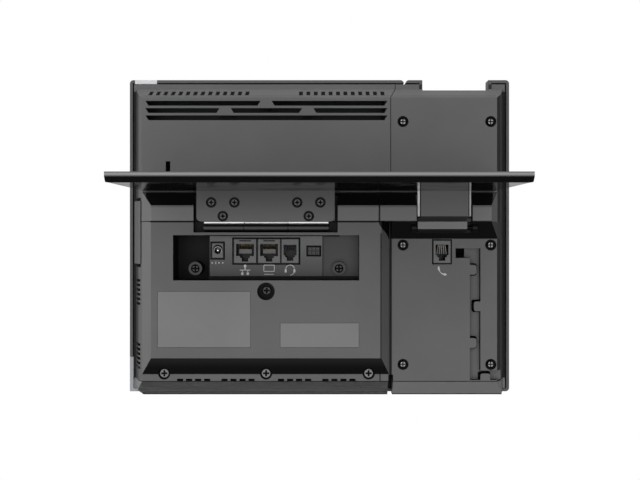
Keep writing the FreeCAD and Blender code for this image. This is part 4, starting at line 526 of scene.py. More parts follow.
class PhoneColours(bpy.types.PropertyGroup):
    """Colours of the phone's finishes."""

    def shown(label, note, colour):
        return FloatVectorProperty(name=label, description=note, default=colour, subtype="COLOR", min=0.0,
                                   max=1.0)

    shell: shown("Shells", "Front shells and rear covers", (0.125, 0.125, 0.127))
    # Black is also the colour of the painted shade that blacken lays on.
    black: shown("Black", "Polished black plastic and painted shade", (0.006, 0.006, 0.006))
    panel: shown("Port panel", "Panel round the sockets", (0.14, 0.14, 0.141))
    socket: shown("Sockets", "Moulded faces of the sockets", (0.13, 0.13, 0.13))
    grid: shown("Connector", "Squares round the pins of the expansion connector", (0.12, 0.12, 0.121))
    label: shown("Labels", "Blank labels on the back", (0.185, 0.185, 0.187))
    light: shown("Message light", "Frosted light pipe", (0.72, 0.73, 0.745))
    trim: shown("Corner trim", "Satin trim at the lower corner", (0.3, 0.32, 0.34))
    leg: shown("Legs", "Legs of the stand", (0.09, 0.09, 0.091))
    leg_back: shown("Leg back", "Back of the narrow leg", (0.15, 0.15, 0.152))
    # A painted highlight on the narrow leg's outer bevels.
    leg_edge_highlight: shown("Leg edge", "Painted highlight on the outer bevels of the narrow leg", (0.85, 0.85, 0.86))
    lug: shown("Lug", "Lug at the root of the narrow leg", (0.19, 0.19, 0.192))
    # The plate's end face is painted pale, as light falling on it.
    plate_end: shown("Plate end", "End face of the stand's plate", (0.26, 0.26, 0.262))
    foot: shown("Foot", "Rubber strip of the stand", (0.004, 0.004, 0.004))
    # One steel in two tones: a painted highlight on the strip under the leg, painted shade on the rest.
    steel: shown("Steel", "Bright strip of the hinge", (0.72, 0.72, 0.73))
    shaded_steel: shown("Dark steel", "Hinge leaves and pins", (0.05, 0.05, 0.052))
    screw: shown("Screws", "Blackened screws", (0.17, 0.17, 0.175))
    gold: shown("Contacts", "Gilded contacts", (0.83, 0.62, 0.3))
    centre_pin: shown("Centre pin", "Centre pin of the power socket", (0.85, 0.85, 0.84))
    sleeve: shown("Sleeve", "Sleeve of the power socket", (0.4, 0.4, 0.41))
    pins: shown("Pins", "Pins of the expansion connector", (0.3, 0.3, 0.31))
    key: shown("Keys", "Key caps", (0.045, 0.045, 0.048))
    ring: shown("Navigation ring", "Navigation ring and rocker", (0.09, 0.09, 0.095))
    legend: shown("Legends", "Printed digits and symbols", (0.5, 0.5, 0.5))
    glass: shown("Display glass", "Printed border of the glass", (0.006, 0.006, 0.007))
    screen: shown("Screen", "Display area when it is off", (0.009, 0.010, 0.012))
    module: shown("Module", "Frame of the display module", (0.03, 0.03, 0.035))
    mat: shown("Keypad mat", "Silicone of the keypad mat", (0.3, 0.3, 0.31))
    # The boards are painted nearly black, as shade inside the phone seen through the louvres.
    mask: shown("Board", "Solder mask of the boards", (0.004, 0.006, 0.005))
    floor: shown("Floor", "Studio floor", (0.86, 0.86, 0.86))


class PhoneSizes(bpy.types.PropertyGroup):
    """Sizes of the details that Blender adds, in millimetres."""

    def length(label, note, size):
        return FloatProperty(name=label, description=note, default=size, min=0.0)

    print_high: length("Print height", "How far print stands off its surface", 0.05)
    print_sunk: length("Print root", "How deep print starts under its surface", 0.03)
    line: length("Symbol line", "Width of the lines of a port symbol", 0.42)
    digit: length("Digit size", "Height of the type of a digit", 6.4)
    letters: length("Letter size", "Height of the type of the letters", 3.1)
    key_line: length("Key symbol line", "Width of the lines of a key symbol", 0.45)
    contact_wide: length("Contact width", "Width of a contact wire", 0.45)
    contact_pitch: length("Contact pitch", "Spacing of the eight contacts", 1.02)
    small_pitch: length("Small contact pitch", "Spacing of the four contacts", 1.27)


class PhoneStudio(bpy.types.PropertyGroup):
    """Camera and lamps."""

    def length(label, note, size):
        return FloatProperty(name=label, description=note, default=size, subtype="DISTANCE", unit="LENGTH")

    def power(label, note, watts):
        return FloatProperty(name=label, description=note, default=watts, min=0.0, unit="POWER")

    lens: FloatProperty(name="Lens", description="Focal length in millimetres", default=48.77, min=1.0)
    away: length("Distance", "From the origin back to the camera, along the back's own direction", 0.5825)
    lift: length("Height", "Height of the camera up the phone's body", 0.1047)
    aside: length("Aside", "How far the camera stands to the right, seen from the front", -0.00035)
    shift: FloatProperty(name="Shift", description="Upward shift of the picture", default=-0.0125)
    back: power("Back lamp", "Large lamp behind the phone, close to the camera", 20.0)
    side: power("Side lamp", "Lamp that grazes the back from the display's side", 4.5)
    front: power("Front lamps", "Each of the two lamps in front of the phone", 7.0)
    top: power("Top lamp", "Lamp above the phone", 5.0)


# Steps


class PhoneOperator:
    """What all the operators share."""

    bl_options = {"REGISTER", "UNDO"}

    def execute(self, context):
        scene = context.scene
        self.build(scene.phone_colours, scene.phone_sizes, scene.phone_studio)
        return {"FINISHED"}


def shade_inside(finish):
    """The inner faces, seen through the louvres, lie in the dark."""
    wall, top_wall = 4, 3
    low, high = upright_box("cradle_front_housing")[0], upright_box("front_housing")[1]
    across, _, up = finish.point
    room = across.within(low.x + wall, high.x - wall) * up.within(low.z + wall, high.z - top_wall)
    finish.blacken(room * (finish.facing[1] > 0.3), DEEP)


def shade_bevels(finish):
    """The bevels along the sides are painted darker than the face as shade, most at their foot; the right one
    is painted black as shade.
    """
    across, depth, up = finish.point
    foot, rise, edge = FACE - 5, 4.8, SIDE - 8.6
    bevel = (up > CREASE) * (depth < foot + rise) * (abs(finish.facing[0]) > 0.5)
    # Painted shade on the bevels: dull is how dark they are painted.
    dull = depth.ramp(foot - 0.4, foot + 0.4, 0.65, 0.2)
    finish.cast(dull * (abs(across) > edge) * bevel, (0.0, 0.0, 0.0))
    finish.blacken((across < -edge) * (depth > foot) * bevel, 0.9)


def paint_low_light_and_seam_shade(finish, colours):
    """The chin and the ridge are painted paler as light falling on them; fine dark lines of painted shade run
    along the step and the chin.
    """
    across, depth, up = finish.point
    line_top, ridge_high = 104, 9.5
    lines = across.within(STEP - 1, STEP + 1) | across.within(STEP + 6.5, STEP + 7.4)
    finish.blacken(lines * up.within(CREASE, line_top), 0.8)
    finish.cast((up < CREASE) * 0.9, shade(colours.shell, 1.6))
    ridge = up.within(SPLIT, SPLIT + ridge_high) * (depth > RAISED - 0.5)
    finish.cast(ridge * 0.9, shade(colours.shell, 1.45))
    groove = up.within(CREASE - 0.35, CREASE + 0.25)
    lip = up.ramp(0.7 - CREASE, 0.9 - CREASE, 1.0, 0.0)
    finish.blacken(groove + lip, 0.9)


def flat_back(finish):
    """1 on the back inside its bevels, and in what opens from there."""
    across, depth, up = finish.point
    bevel, below_top, inner = 8.7, 4, -3
    return (abs(across) < SIDE - bevel) * up.within(CREASE, TOP - below_top) * (depth > inner)


def shade_steep_walls(finish):
    """Walls that run straight in from the face lie in shade, and so do faces that lie deep inside."""
    _, depth, up = finish.point
    out = finish.facing[1]
    inner, below_top = -1, 5
    finish.blacken(flat_back(finish) * abs(out).ramp(0.15, 0.35, 1.0, 0.0), DEEP)
    finish.blacken((depth < inner) * (out > 0.95) * up.within(CREASE, TOP - below_top), DEEP)


def shade_hinge_room(finish):
    """The gaps beside and under the wide leg are painted black as shade."""
    across, depth, up = finish.point
    leg, room = 45.2, 48.6
    off = abs(across - HINGE.x)
    beside = off.within(leg, room) * up.within(HINGE.z - 4, HINGE.z + 25)
    under = (off < room) * up.within(HINGE.z - 6, HINGE.z + 4.5)
    finish.blacken((beside | under) * (depth < RAISED - 0.5) * (depth > -3), DEEP)


def paint_seam_shade(finish):
    """A dark line of painted shade follows the seam between the covers, and one parts the ridge from the next
    section.
    """
    across, depth, up = finish.point
    step = STEP + 7.9
    seam = up.within(SPLIT - 0.5, SPLIT + 0.7)
    parting = (up > SPLIT) * across.within(step - 0.6, step + 0.5)
    finish.blacken((seam | parting) * (depth > RAISED - 1), 0.85)


def shade_vents_and_seats(finish):
    """The ends of the side vents and the seats of the handset section's screws are painted dark as shade."""
    across, depth, up = finish.point
    edge = SIDE - 8.7
    vents = (across > edge) * up.within(CREASE + 8, CREASE + 75) * (depth < upright_box("port_panel")[1].y)
    finish.blacken(vents * (abs(finish.facing[2]) > 0.8), DEEP)
    seat = upright_box("cradle_screws")[1].y - 1.8
    finish.blacken(depth.within(seat - 0.3, seat + 0.3) * flat_back(finish), 0.9)


def polish_and_shade_slopes(finish, colours):
    """The slopes above and below the raised back, and round the narrow leg's lug, are black: partly a polished
    black finish, partly painted shade.
    """
    across, depth, up = finish.point
    lean = abs(finish.facing[2])
    slope = (depth > FACE) * (depth < RAISED - 0.2) * lean.ramp(0.3, 0.5)
    foot, head = PIVOT.z - 7.5, PIVOT.z + 3.9
    limit = up.ramp(foot, head, 1.5, 8.5) + STEP
    cheeks = (depth > FACE - 7) * up.within(foot, head) * (across < limit)
    black = slope | cheeks
    finish.blacken(black)
    chin_slope_top, fade = 21.9, 8
    paler = up.ramp(chin_slope_top - fade, chin_slope_top) * (up < chin_slope_top + 5)
    finish.cast(slope * paler, shade(colours.black, 3.0))
    finish.set("Roughness", finish.so_far("Roughness") * (1 - black * 0.6))


def shade_wells(finish, screws):
    """The wells of the screws are painted black as shade inside and at their rims."""
    depth = finish.point[1]
    cavity_foot = upright_box("port_panel")[0].z - 5
    for head in screw_heads(screws):
        radius, top = 3.7, RAISED
        if screws == "main_cover_screws":
            if head.z < LOW_SCREWS:
                radius = 4.1
            elif head.z > cavity_foot:
                radius = 2.9
            else:
                radius, top = 6.0, RAISED - 0.4
        finish.blacken((finish.away(head) < radius) * (depth < top), DEEP)


def shade_cavity(finish):
    """Shade gathers in the port cavity: most in its deep pocket, less on its floor."""
    across, depth, up = finish.point
    low, high = upright_box("port_panel")
    room = up.within(low.z - 3.2, high.z + 1.2) * across.within(low.x - 24.6, high.x + 23.5)
    below, pocket = (up < low.z) * (depth < high.y), (across > high.x - 0.5) * (depth < high.y)
    finish.blacken((below | pocket) * room)
    finish.blacken(room * (depth < high.y + 5), 0.45)


class PHONE_OT_shells(PhoneOperator, bpy.types.Operator):
    """Give the shells and covers their grained charcoal plastic with painted light and shade, and the covers'
    end slopes their polish and painted shade
    """

    bl_idname = "phone.shells"
    bl_label = "Shells and covers"

    def build(self, colours, sizes, studio):
        shell = moulded("Housing plastic", shade(colours.shell, 0.72), 0.5)
        shade_inside(shell)
        dress(shell, "front_housing", "cradle_front_housing")
        dress(moulded("Side cover plastic", shade(colours.shell, 0.6), 0.5), "side_accessory_cover")
        for node, screws in (("upper_rear_cover", None), ("lower_rear_cover", "main_cover_screws"),
                             ("cradle_rear_cover", "cradle_screws")):
            cover = moulded("Plastic of " + node, colours.shell, 0.5, gloss=0.1)
            shade_bevels(cover)
            paint_low_light_and_seam_shade(cover, colours)
            shade_steep_walls(cover)
            shade_hinge_room(cover)
            paint_seam_shade(cover)
            shade_vents_and_seats(cover)
            polish_and_shade_slopes(cover, colours)
            if screws:
                shade_wells(cover, screws)
            shade_cavity(cover)
            dress(cover, node)


def shade_narrow_leg(finish, colours):
    """The narrow leg's outer bevels carry a painted highlight with painted shade at their inner side; its back
    and its lug are paler; its knuckle is painted black as shade.
    """
    across, depth, up = finish.point
    aside, out, _ = finish.facing
    leg_low, lug_low, lug_high = PIVOT.z + 7.4, PIVOT.z - 0.9, PIVOT.z + 4.2
    off = abs(across - PIVOT.x)
    column = off < 20.2
    leg = column * (depth < PIVOT.y + 12)
    bevel = abs(aside).within(0.4, 0.9) * up.within(leg_low, PIVOT.z + 30)
    outer = off.ramp(16.2, 16.5)
    # Painted highlight on the outer bevels, with painted shade along their inner side.
    finish.cast(leg * bevel, finish.mix(outer, shade(colours.black), shade(colours.leg_edge_highlight)))
    finish.cast(leg * up.within(lug_low, lug_high), colours.lug)
    finish.cast(leg * (up > leg_low) * (out > 0.9) * 0.6, colours.leg_back)
    # Painted shade: the knuckle and the gap above the lug turn black.
    finish.blacken((up < lug_low) * leg + up.within(lug_high, leg_low) * column)


def shade_plate_end(finish, colours):
    """The plate's end face is painted pale as light falling on it, and painted darker towards its edges as
    shade.
    """
    _, depth, up = finish.point
    top, end = upright_box("stand_plate")[1].z, upright_box("stand_plate")[1].y
    tint = up.ramp(top - 1.1, top, 1.0, 0.3) * up.ramp(top - 2.6, top - 1.4, 0.1, 1.0)
    pale = finish.mix(tint, shade(colours.black), shade(colours.plate_end))
    finish.cast((depth > end - 1) * finish.facing[1].ramp(0.5, 0.8), pale)


def shade_wide_leg(finish, colours):
    """The wide leg is painted paler towards its root, away from the plate's shade, and its screws stand in
    wells painted black as shade.
    """
    across, depth, up = finish.point
    leg = (across > PIVOT.x + 40) * (depth < HINGE.y + 12)
    finish.cast(leg * up.ramp(HINGE.z + 3, HINGE.z + 26, 1.0, 0.0), shade(colours.leg, 1.5))
    for head in screw_heads("hinge_screws"):
        finish.blacken(leg * (finish.away(head) < 3.5))


class PHONE_OT_stand(PhoneOperator, bpy.types.Operator):
    """Give the stand its plastics, rubber foot and steel hinge"""

    bl_idname = "phone.stand"
    bl_label = "Stand and hinge"

    # Node, tint, half width and reach of the cross recess, inner and outer radius of the lit ring
    SCREWS = (("main_cover_screws", 0.9, 0.65, 2.1, -1.0, 3.1),
              ("hinge_screws", 0.55, 0.4, 1.5, 0.9, 2.6),
              ("cradle_screws", 1.5, 0.35, 2.5, -1.0, 1.7))

    def build(self, colours, sizes, studio):
        stand = moulded("Stand plastic", colours.leg, 0.5)
        shade_narrow_leg(stand, colours)
        shade_plate_end(stand, colours)
        shade_wide_leg(stand, colours)
        dress(stand, "stand_plate")
        dress(polished("Stand underside", colours.black, 0.1, Specular_IOR_Level=0.2), "stand_under_cover")
        rubber = moulded("Foot rubber", colours.foot, 0.75, grain=0.6, relief=0.8, gloss=0.08)
        dress(rubber, "stand_foot")
        steel = metal("Hinge steel", colours.steel, 0.4)
        strip_low, strip_high = HINGE.z + 2.1, HINGE.z + 3.7
        # Painted shade on the hinge's leaves and pins, leaving the bright strip as a painted highlight.
        steel.cast(1 - steel.point[2].within(strip_low, strip_high), colours.shaded_steel)
        dress(steel, "hinge_leaf_body", "hinge_leaf_stand", "hinge_pin")
        for node, tint, *pattern in self.SCREWS:
            screw = metal("Steel of " + node, shade(colours.screw, tint), 0.4, drawn=1.0)
            if node == "main_cover_screws":
                # Painted shade: the main screws above the chin, in the port cavity and a deep well, are
                # darker.
                screw.blacken(screw.point[2] > LOW_SCREWS, 0.6)
            # Painted shade: all of each head but its lit ring turns black, the cross recess too.
            screw.blacken(1 - screw.head_pattern(node, *pattern))
            dress(screw, node)
        dress(metal("Side pin steel", shade(colours.screw, 0.05), 0.4), "side_hinge_pin")


def darken_sockets(finish, sockets):
    """Painted shade gathers inside the plug openings, and the sockets' outer edges are painted dark as shade.
    """
    finish.blacken(finish.point[1].ramp(FACE - 3, FACE - 0.3, 0.8, 0.0))
    inside = 0.0
    for node in sockets:
        inside = finish.over(node, -0.5) + inside
    finish.blacken(1 - inside, 0.9)


def shade_grid(finish, colours):
    """A paler square round each of the six pins."""
    centre = middle("expansion_connector")
    across, _, up = finish.point
    columns = stripes(across - centre.x, 1.5)
    rows = stripes(up - centre.z + PIN_PITCH / 2, 1.0)
    finish.cast(columns * rows * 0.9, colours.grid)


def stripes(place, reach):
    """1 within 0.85 mm of each whole number of pitches, up to this many of them from the middle."""
    off = place - round(place / PIN_PITCH) * PIN_PITCH
    return (abs(off) < 0.85) * (abs(place) < (reach + 0.4) * PIN_PITCH)


def frosted(colours):
    """A light pipe that is off: clouded, and faintly clear."""
    finish = Finish("Light pipe", Transmission_Weight=0.15, IOR=1.49)
    place = finish.place()
    cloud = finish.noise(place, 220.0, detail=3.0)
    finish.set("Base Color", finish.mix(cloud, shade(colours.light, 0.94), shade(colours.light, 1.05)))
    finish.set("Roughness", cloud.ramp(0.3, 0.7, 0.3, 0.5))
    finish.bump(finish.noise(place, 1500.0), 0.2, 0.02, finish.rounded(0.3))
    return finish


class PHONE_OT_ports(PhoneOperator, bpy.types.Operator):
    """Give the port panel, sockets and labels their plastics"""

    bl_idname = "phone.ports"
    bl_label = "Port panel and labels"

    PANEL_SOCKETS = ("network_jack", "pc_jack", "headset_jack", "power_jack")

    def build(self, colours, sizes, studio):
        panel = moulded("Panel plastic", colours.panel, 0.55, grain=0.25)
        low, high = upright_box("port_panel")
        # Painted shade: the panel darkens towards its foot.
        panel.blacken(panel.point[2].ramp(low.z, high.z, 0.55, 0.0))
        # Painted shade in the gaps round the sockets and the connector.
        for node in self.PANEL_SOCKETS + ("expansion_connector",):
            panel.blacken(panel.over(node, 0.9))
        dress(panel, "port_panel")
        sockets = self.PANEL_SOCKETS + ("handset_jack",)
        socket = moulded("Socket plastic", colours.socket, 0.4, grain=0.2, relief=0.2, radius=0.2)
        darken_sockets(socket, sockets)
        dress(socket, *sockets)
        connector = moulded("Connector plastic", colours.black, 0.4, grain=0.2, relief=0.2, radius=0.2)
        shade_grid(connector, colours)
        dress(connector, "expansion_connector")
        dress(moulded("Label film", colours.label, 0.6, grain=0.15, relief=0.1, radius=0.1), "rear_labels")
        dress(frosted(colours), "status_light")
        dress(moulded("Trim plastic", colours.trim, 0.35, relief=0.15), "corner_trim")


def display_glass(colours):
    """Black printed glass with the screen showing faintly behind it."""
    finish = Finish("Display glass", IOR=1.52, Coat_Roughness=0.03)
    border, blur = 3.075, 0.075
    low, high = upright_box("display_module")
    across, _, up = finish.point
    window = (across.within(low.x + border, high.x - border, blur)
              * up.within(low.z + border, high.z - border, blur))
    smear = finish.noise(finish.place(), 30.0, detail=5.0)
    screen = finish.mix(smear, shade(colours.screen, 0.9), shade(colours.screen, 1.1))
    finish.set("Base Color", finish.mix(window, shade(colours.glass), screen))
    finish.set("Roughness", smear.ramp(0.4, 0.75, 0.05, 0.14))
    finish.set("Coat Weight", window * 0.4 + 0.4)
    finish.bump(finish.noise(finish.place(), 40.0), 0.02, 0.05, finish.rounded(0.3))
    return finish


class PHONE_OT_front(PhoneOperator, bpy.types.Operator):
    """Give the display glass, keys, handset and loudspeaker their finishes"""

    bl_idname = "phone.front"
    bl_label = "Front and handset"

    def build(self, colours, sizes, studio):
        dress(display_glass(colours), "display_glass")
        keys = [name for name in frame["nodes"] if name.startswith("dial_key") or name.endswith("_key")]
        dress(moulded("Key plastic", colours.key, 0.42, grain=0.2, relief=0.2), *keys)
        dress(moulded("Ring plastic", colours.ring, 0.38, grain=0.2, relief=0.2), "nav_ring", "volume_rocker")
        handset = moulded("Handset plastic", colours.shell, 0.42, grain=0.4, relief=0.3)
        dress(handset, "handset_back", "handset_face")
        dress(moulded("Plunger plastic", colours.ring, 0.35, relief=0.1), "hook_plunger")
        cloth = moulded("Speaker cloth", colours.black, 0.85, grain=0.7, relief=1.0)
        dress(cloth, "loudspeaker", "handset_receiver", "handset_microphone", "hook_switch")


def circuit_board(colours):
    """Solder mask with copper tracks under it."""
    finish = Finish("Circuit board", Specular_IOR_Level=0.1)
    settings = {"voronoi_dimensions": "3D", "feature": "F1", "distance": "CHEBYCHEV"}
    cells = finish.node("ShaderNodeTexVoronoi", settings, {"Vector": finish.place(), "Scale": 260.0})
    track = cells.ramp(0.3, 0.36)
    # The solder mask is painted nearly black, as shade inside the phone seen through the louvres.
    finish.set("Base Color", finish.mix(track, shade(colours.mask), shade(colours.mask, 1.7)))
    finish.set("Roughness", track * 0.15 + 0.3)
    finish.bump(track, 0.3, 0.03, finish.rounded(0.1))
    return finish


class PHONE_OT_inside(PhoneOperator, bpy.types.Operator):
    """Give the boards, display module, keypad mat and standoffs their materials"""

    bl_idname = "phone.inside"
    bl_label = "Boards and inner pieces"

    def build(self, colours, sizes, studio):
        dress(circuit_board(colours), "main_board", "port_board")
        dress(moulded("Mat silicone", colours.mat, 0.6, grain=0.5), "keypad_mat")
        dress(polished("Module frame", colours.module, 0.2), "display_module")
        dress(metal("Standoff brass", colours.gold, 0.3), "board_standoffs")


# A spring's bends, inwards and down from the mouth of its opening
BENDS = ((0.0, 0.0), (0.3, 0.5), (2.2, 1.6), (5.0, 3.2), (7.4, 4.3))


def add_inner(part, node, finish, form, *values):
    """One piece that a socket carries, built about the middle of the socket."""
    mesh = bmesh.new()
    form(mesh, middle(node), *upright_box(node), *values)
    piece(f"{node.rsplit('_', 1)[0]}_{part}", mesh, body_with(node), finish)


def spring_wires(mesh, centre, low, high, count, pitch, wide):
    """Wires that come down from the roof of the opening and slope inwards."""
    mouth, roof, thick = high.y - 1.6, high.z - 3.75, 0.3
    path = [(mouth - inwards, roof - down) for inwards, down in BENDS]
    for step in spread(count, pitch):
        ribbon(mesh, centre.x + step, path, wide, thick)


def network_comb(mesh, centre, low, high, count, pitch):
    """A sloping bar inside the opening, with a tooth beside each wire."""
    top, bottom, mouth = low.z + 9.5, low.z + 6.6, high.y - 3.0
    half = (count / 2 + 0.15) * pitch
    loft(mesh, [[(x, mouth, bottom), (x, mouth - 0.6, top), (x, mouth - 1.6, top), (x, mouth - 2.4, bottom)]
                for x in (centre.x - half, centre.x + half)])
    tooth_half, tooth_thick, off = 0.12, 1.2, 0.3
    for step in spread(count + 1, pitch):
        x = centre.x + step
        bar(mesh, tooth_half, tooth_thick, (x, mouth + off, bottom + 0.2), (x, mouth - off, top - 0.2))


def handset_comb(mesh, centre, low, high, count, pitch):
    """Ribs between the four wires, which fan out downwards."""
    top, bottom, mouth = low.z + 12.2, low.z + 6.2, high.y - 1.8
    rib_half, rib_thick, wider, closer, slope = 0.3, 3, 1.25, 0.85, 0.8
    for step in spread(count + 1, pitch):
        lower, upper = centre.x + step * wider, centre.x + step * closer
        bar(mesh, rib_half, rib_thick, (lower, mouth - slope, bottom), (upper, mouth, top))


def round_pin(mesh, centre, low, high):
    radius, root, end, tip = 1.15, 11, 1.35, 0.9
    pin(mesh, centre, radius, high.y - root, high.y - end, tip)


def rolled_sleeve(mesh, centre, low, high):
    """A thin sheet, rolled round the centre pin and open by a slit."""
    outer, inner = (arc(centre.x, centre.z, radius, 0, 352, 44) for radius in (2.65, 2.4))
    near, far = high.y - 1.2, high.y - 8
    rings = [[(x, depth, z) for x, z in edge]
             for edge, depth in ((outer, near), (inner, near), (inner, far), (outer, far))]
    loft(mesh, rings + [rings[0]], caps=False)


def square_pins(mesh, centre, low, high):
    """Six square pins in two rows."""
    size, corner, front, back, tip = 0.6, 0.1, 4, 6, 0.2
    for across in spread(3, PIN_PITCH):
        for up in spread(2, PIN_PITCH):
            outline = rounded_rect(centre.x + across, centre.z + up, size, size, corner)
            plate(mesh, outline, high.y - front, high.y - back, tip)


class PHONE_OT_contacts(PhoneOperator, bpy.types.Operator):
    """Add the sprung contacts of the plug openings and the pins of the power and expansion sockets"""

    bl_idname = "phone.contacts"
    bl_label = "Contacts"

    def build(self, colours, sizes, studio):
        gold = metal("Gilded contacts", colours.gold, 0.25, drawn=1.0, radius=0.05)
        # The guides are painted paler than the sockets' plastic, as light against the shade in the openings.
        guide = moulded("Contact guide", shade(colours.socket, 1.3), 0.5, grain=0.2, relief=0.2, radius=0.1)
        for node, count, pitch, comb in (("network_jack", 8, sizes.contact_pitch, network_comb),
                                         ("pc_jack", 8, sizes.contact_pitch, network_comb),
                                         ("headset_jack", 4, sizes.small_pitch, None),
                                         ("handset_jack", 4, sizes.small_pitch, handset_comb)):
            add_inner("contacts", node, gold, spring_wires, count, pitch, sizes.contact_wide)
            if comb:
                add_inner("carrier", node, guide, comb, count, pitch)
        bright = metal("Bright pin", colours.centre_pin, 0.15, drawn=1.0, radius=0.05)
        dull = metal("Dull sleeve", colours.sleeve, 0.3, drawn=1.0, radius=0.05)
        add_inner("centre_pin", "power_jack", bright, round_pin)
        add_inner("sleeve", "power_jack", dull, rolled_sleeve)
        steel = metal("Pin steel", colours.pins, 0.3, radius=0.05)
        add_inner("pins", "expansion_connector", steel, square_pins)


# Symbols, in millimetres to the right and up from the pen's place


def network(pen):
    """Three boxes joined by a tree."""
    for x, z in ((0, 5.4), (-1.8, 0.3), (1.8, 0.3)):
        pen.box(x, z, 1.7, 1.8, 0.7)
    pen.line((0, 4.6), (0, 2.7), factor=1.6)
    pen.line((-3.5, 2.7), (3.5, 2.7))
    for x in (-1.8, 1.8):
        pen.line((x, 2.7), (x, 1.1))


def computer(pen):
    """A screen on its foot."""
    pen.line(*rounded_rect(0, 3.9, 7.0, 4.2, 0.5), closed=True)
    pen.line((-3.2, -0.1), (3.2, -0.1))


def headset(pen):
    """A headband with two ear cups and a microphone arm."""
    pen.line(*arc(0, 3.2, 2.9, 10, 170))
    for x in (-2.9, 2.9):
        pen.box(x, 2.2, 1.3, 2.4, 0.6)
    pen.line((-2.6, 1.0), (-1.7, -0.1), (-0.2, -0.8))


def polarity(pen):
    """Centre contact of the power plug: a dot inside an open ring, between two end dots."""
    up, dot = 7.5, 0.5
    for x in (-3.4, 3.6, -0.9):
        pen.fill(arc(x, up, dot, 0, 330, 11))
    pen.line(*arc(0.4, up, 0.95, -60, 60, 10))


def receiver(pen):
    """A telephone receiver, drawn as a curve between two thick ends."""
    curve = ((2.3, -1.9), (2.2, -3.6), (1.5, -5.4), (0.1, -6.8), (-1.9, -7.3), (-3.0, -7.5))
    pen.brush(curve, (0.35, 0.75, 0.25, 0.3, 0.8, 0.3))


def star(pen):
    for turn in (90, 30, 150):
        pen.line(*arc(0, 0, 1.7, turn + 180, turn, 1))


def hatch(pen):
    for side in (-0.75, 0.75):
        pen.line((side - 0.3, -2), (side + 0.3, 2))
        pen.line((-1.9, side), (1.9, side))


def pause(pen):
    for x in (-1.1, 1.1):
        pen.box(x, 0, 1.2, 4, 0.25)


def arrows(pen):
    """Two arrows that pass each other."""
    for way in (-1, 1):
        tip, barb, z = way * 2.4, way * 1.3, way * 1.1
        pen.line((-tip, z), (tip, z))
        pen.line((barb, z + 0.9), (tip, z), (barb, z - 0.9))


def envelope(pen):
    pen.line(*rounded_rect(0, 0, 5, 3.4, 0.4), closed=True)
    pen.line((-2.3, 1.5), (0, -0.3), (2.3, 1.5))


def headphones(pen):
    pen.line(*arc(0, 0, 1.9, 0, 180))
    for x in (-1.9, 1.9):
        pen.box(x, -0.6, 1.0, 1.8, 0.35)


def microphone(pen):
    """A microphone struck through."""
    pen.box(0, 0.8, 1.3, 2.6, 0.6)
    pen.line(*arc(0, 0.5, 1.4, 180, 360))
    pen.line((0, -0.9), (0, -2.1))
    pen.line((-2.2, 2.2), (2.2, -2.2))


def loudspeaker(pen):
    """A horn with two sound waves."""
    pen.fill([(-2.2, -0.7), (-1.3, -0.7), (0, -1.8), (0, 1.8), (-1.3, 0.7), (-2.2, 0.7)])
    for radius in (1.2, 2.3):
        pen.line(*arc(0.2, 0, radius, -45, 45, 8))


def chevrons(pen):
    """Four arrowheads on the navigation ring."""
    tip, arm = 16.4, 1.5
    for turn in range(0, 360, 90):
        out = Matrix.Rotation(math.radians(turn), 2)
        arrow = [Vector((tip - arm, arm)), Vector((tip, 0.0)), Vector((tip - arm, -arm))]
        pen.line(*[out @ place for place in arrow], factor=1.3)


def plus_minus(pen):
    """A minus at the left end of the rocker and a plus at its right end."""
    end, reach, thick = 14, 1.7, 1.2
    for x in (-end, end):
        pen.line((x - reach, 0), (x + reach, 0), factor=thick)
    for side in (-1, 1):
        pen.line((end, side * reach), (end, side * pen.wide), factor=thick)


def ring(pen):
    pen.line(*arc(0, 0, 2.2, 0, 348, 29), factor=1.2, closed=True)


class PHONE_OT_symbols(PhoneOperator, bpy.types.Operator):
    """Print the plain symbols under the sockets"""

    bl_idname = "phone.symbols"
    bl_label = "Port symbols"

    def build(self, colours, sizes, studio):
        ink = moulded("Symbol ink", colours.legend, 0.6, grain=0.2, relief=0.1, radius=0.05)
        panel = upright_box("port_panel")
        margin, sunk_face = 1.4, 0.3
        for node, draw in (("network_jack", network), ("pc_jack", computer), ("headset_jack", headset),
                           ("power_jack", polarity), ("handset_jack", receiver)):
            low, high = upright_box(node)
            carrier, base, level = "port_panel", panel[0].z + margin, panel[1].y
            if draw is receiver:
                carrier, base, level = "cradle_rear_cover", low.z, high.y - sunk_face
            place = Vector((middle(node).x, level, base))
            pen = Pen(place, sizes.line, level - sizes.print_sunk, level + sizes.print_high)
            draw(pen)
            piece(node.replace("jack", "symbol"), pen.mesh, body_with(carrier), ink)


def draw_digit(name, letters, sizes, pen):
    """The digit, with its letters to the right where it has any."""
    pen.type(name, sizes.digit, -3.2 if letters else 0.0)
    if letters:
        pen.type(letters, sizes.letters, 2.9)


class PHONE_OT_legends(PhoneOperator, bpy.types.Operator):
    """Print the digits, letters and symbols on the keys"""

    bl_idname = "phone.legends"
    bl_label = "Key legends"

    LETTERS = ("", "ABC", "DEF", "GHI", "JKL", "MNO", "PQRS", "TUV", "WXYZ", "")
    SYMBOLS = (("dial_key_star", star), ("dial_key_hash", hatch), ("hold_key", pause),
               ("transfer_key", arrows), ("message_key", envelope), ("headset_key", headphones),
               ("mute_key", microphone), ("speaker_key", loudspeaker), ("nav_ring", chevrons),
               ("volume_rocker", plus_minus), ("select_key", ring))

    def build(self, colours, sizes, studio):
        ink = moulded("Legend ink", colours.legend, 0.55, grain=0.2, relief=0.1, radius=0.05)
        draws = [(f"dial_key_{name}", functools.partial(draw_digit, name, letters, sizes))
                 for name, letters in zip("1234567890", self.LETTERS)]
        for node, draw in (*draws, *self.SYMBOLS):
            face = upright_box(node)[0].y
            pen = Pen(middle(node), sizes.key_line, face + sizes.print_sunk, face - sizes.print_high)
            draw(pen)
            piece(node + "_legend", pen.mesh, body_with(node), ink)


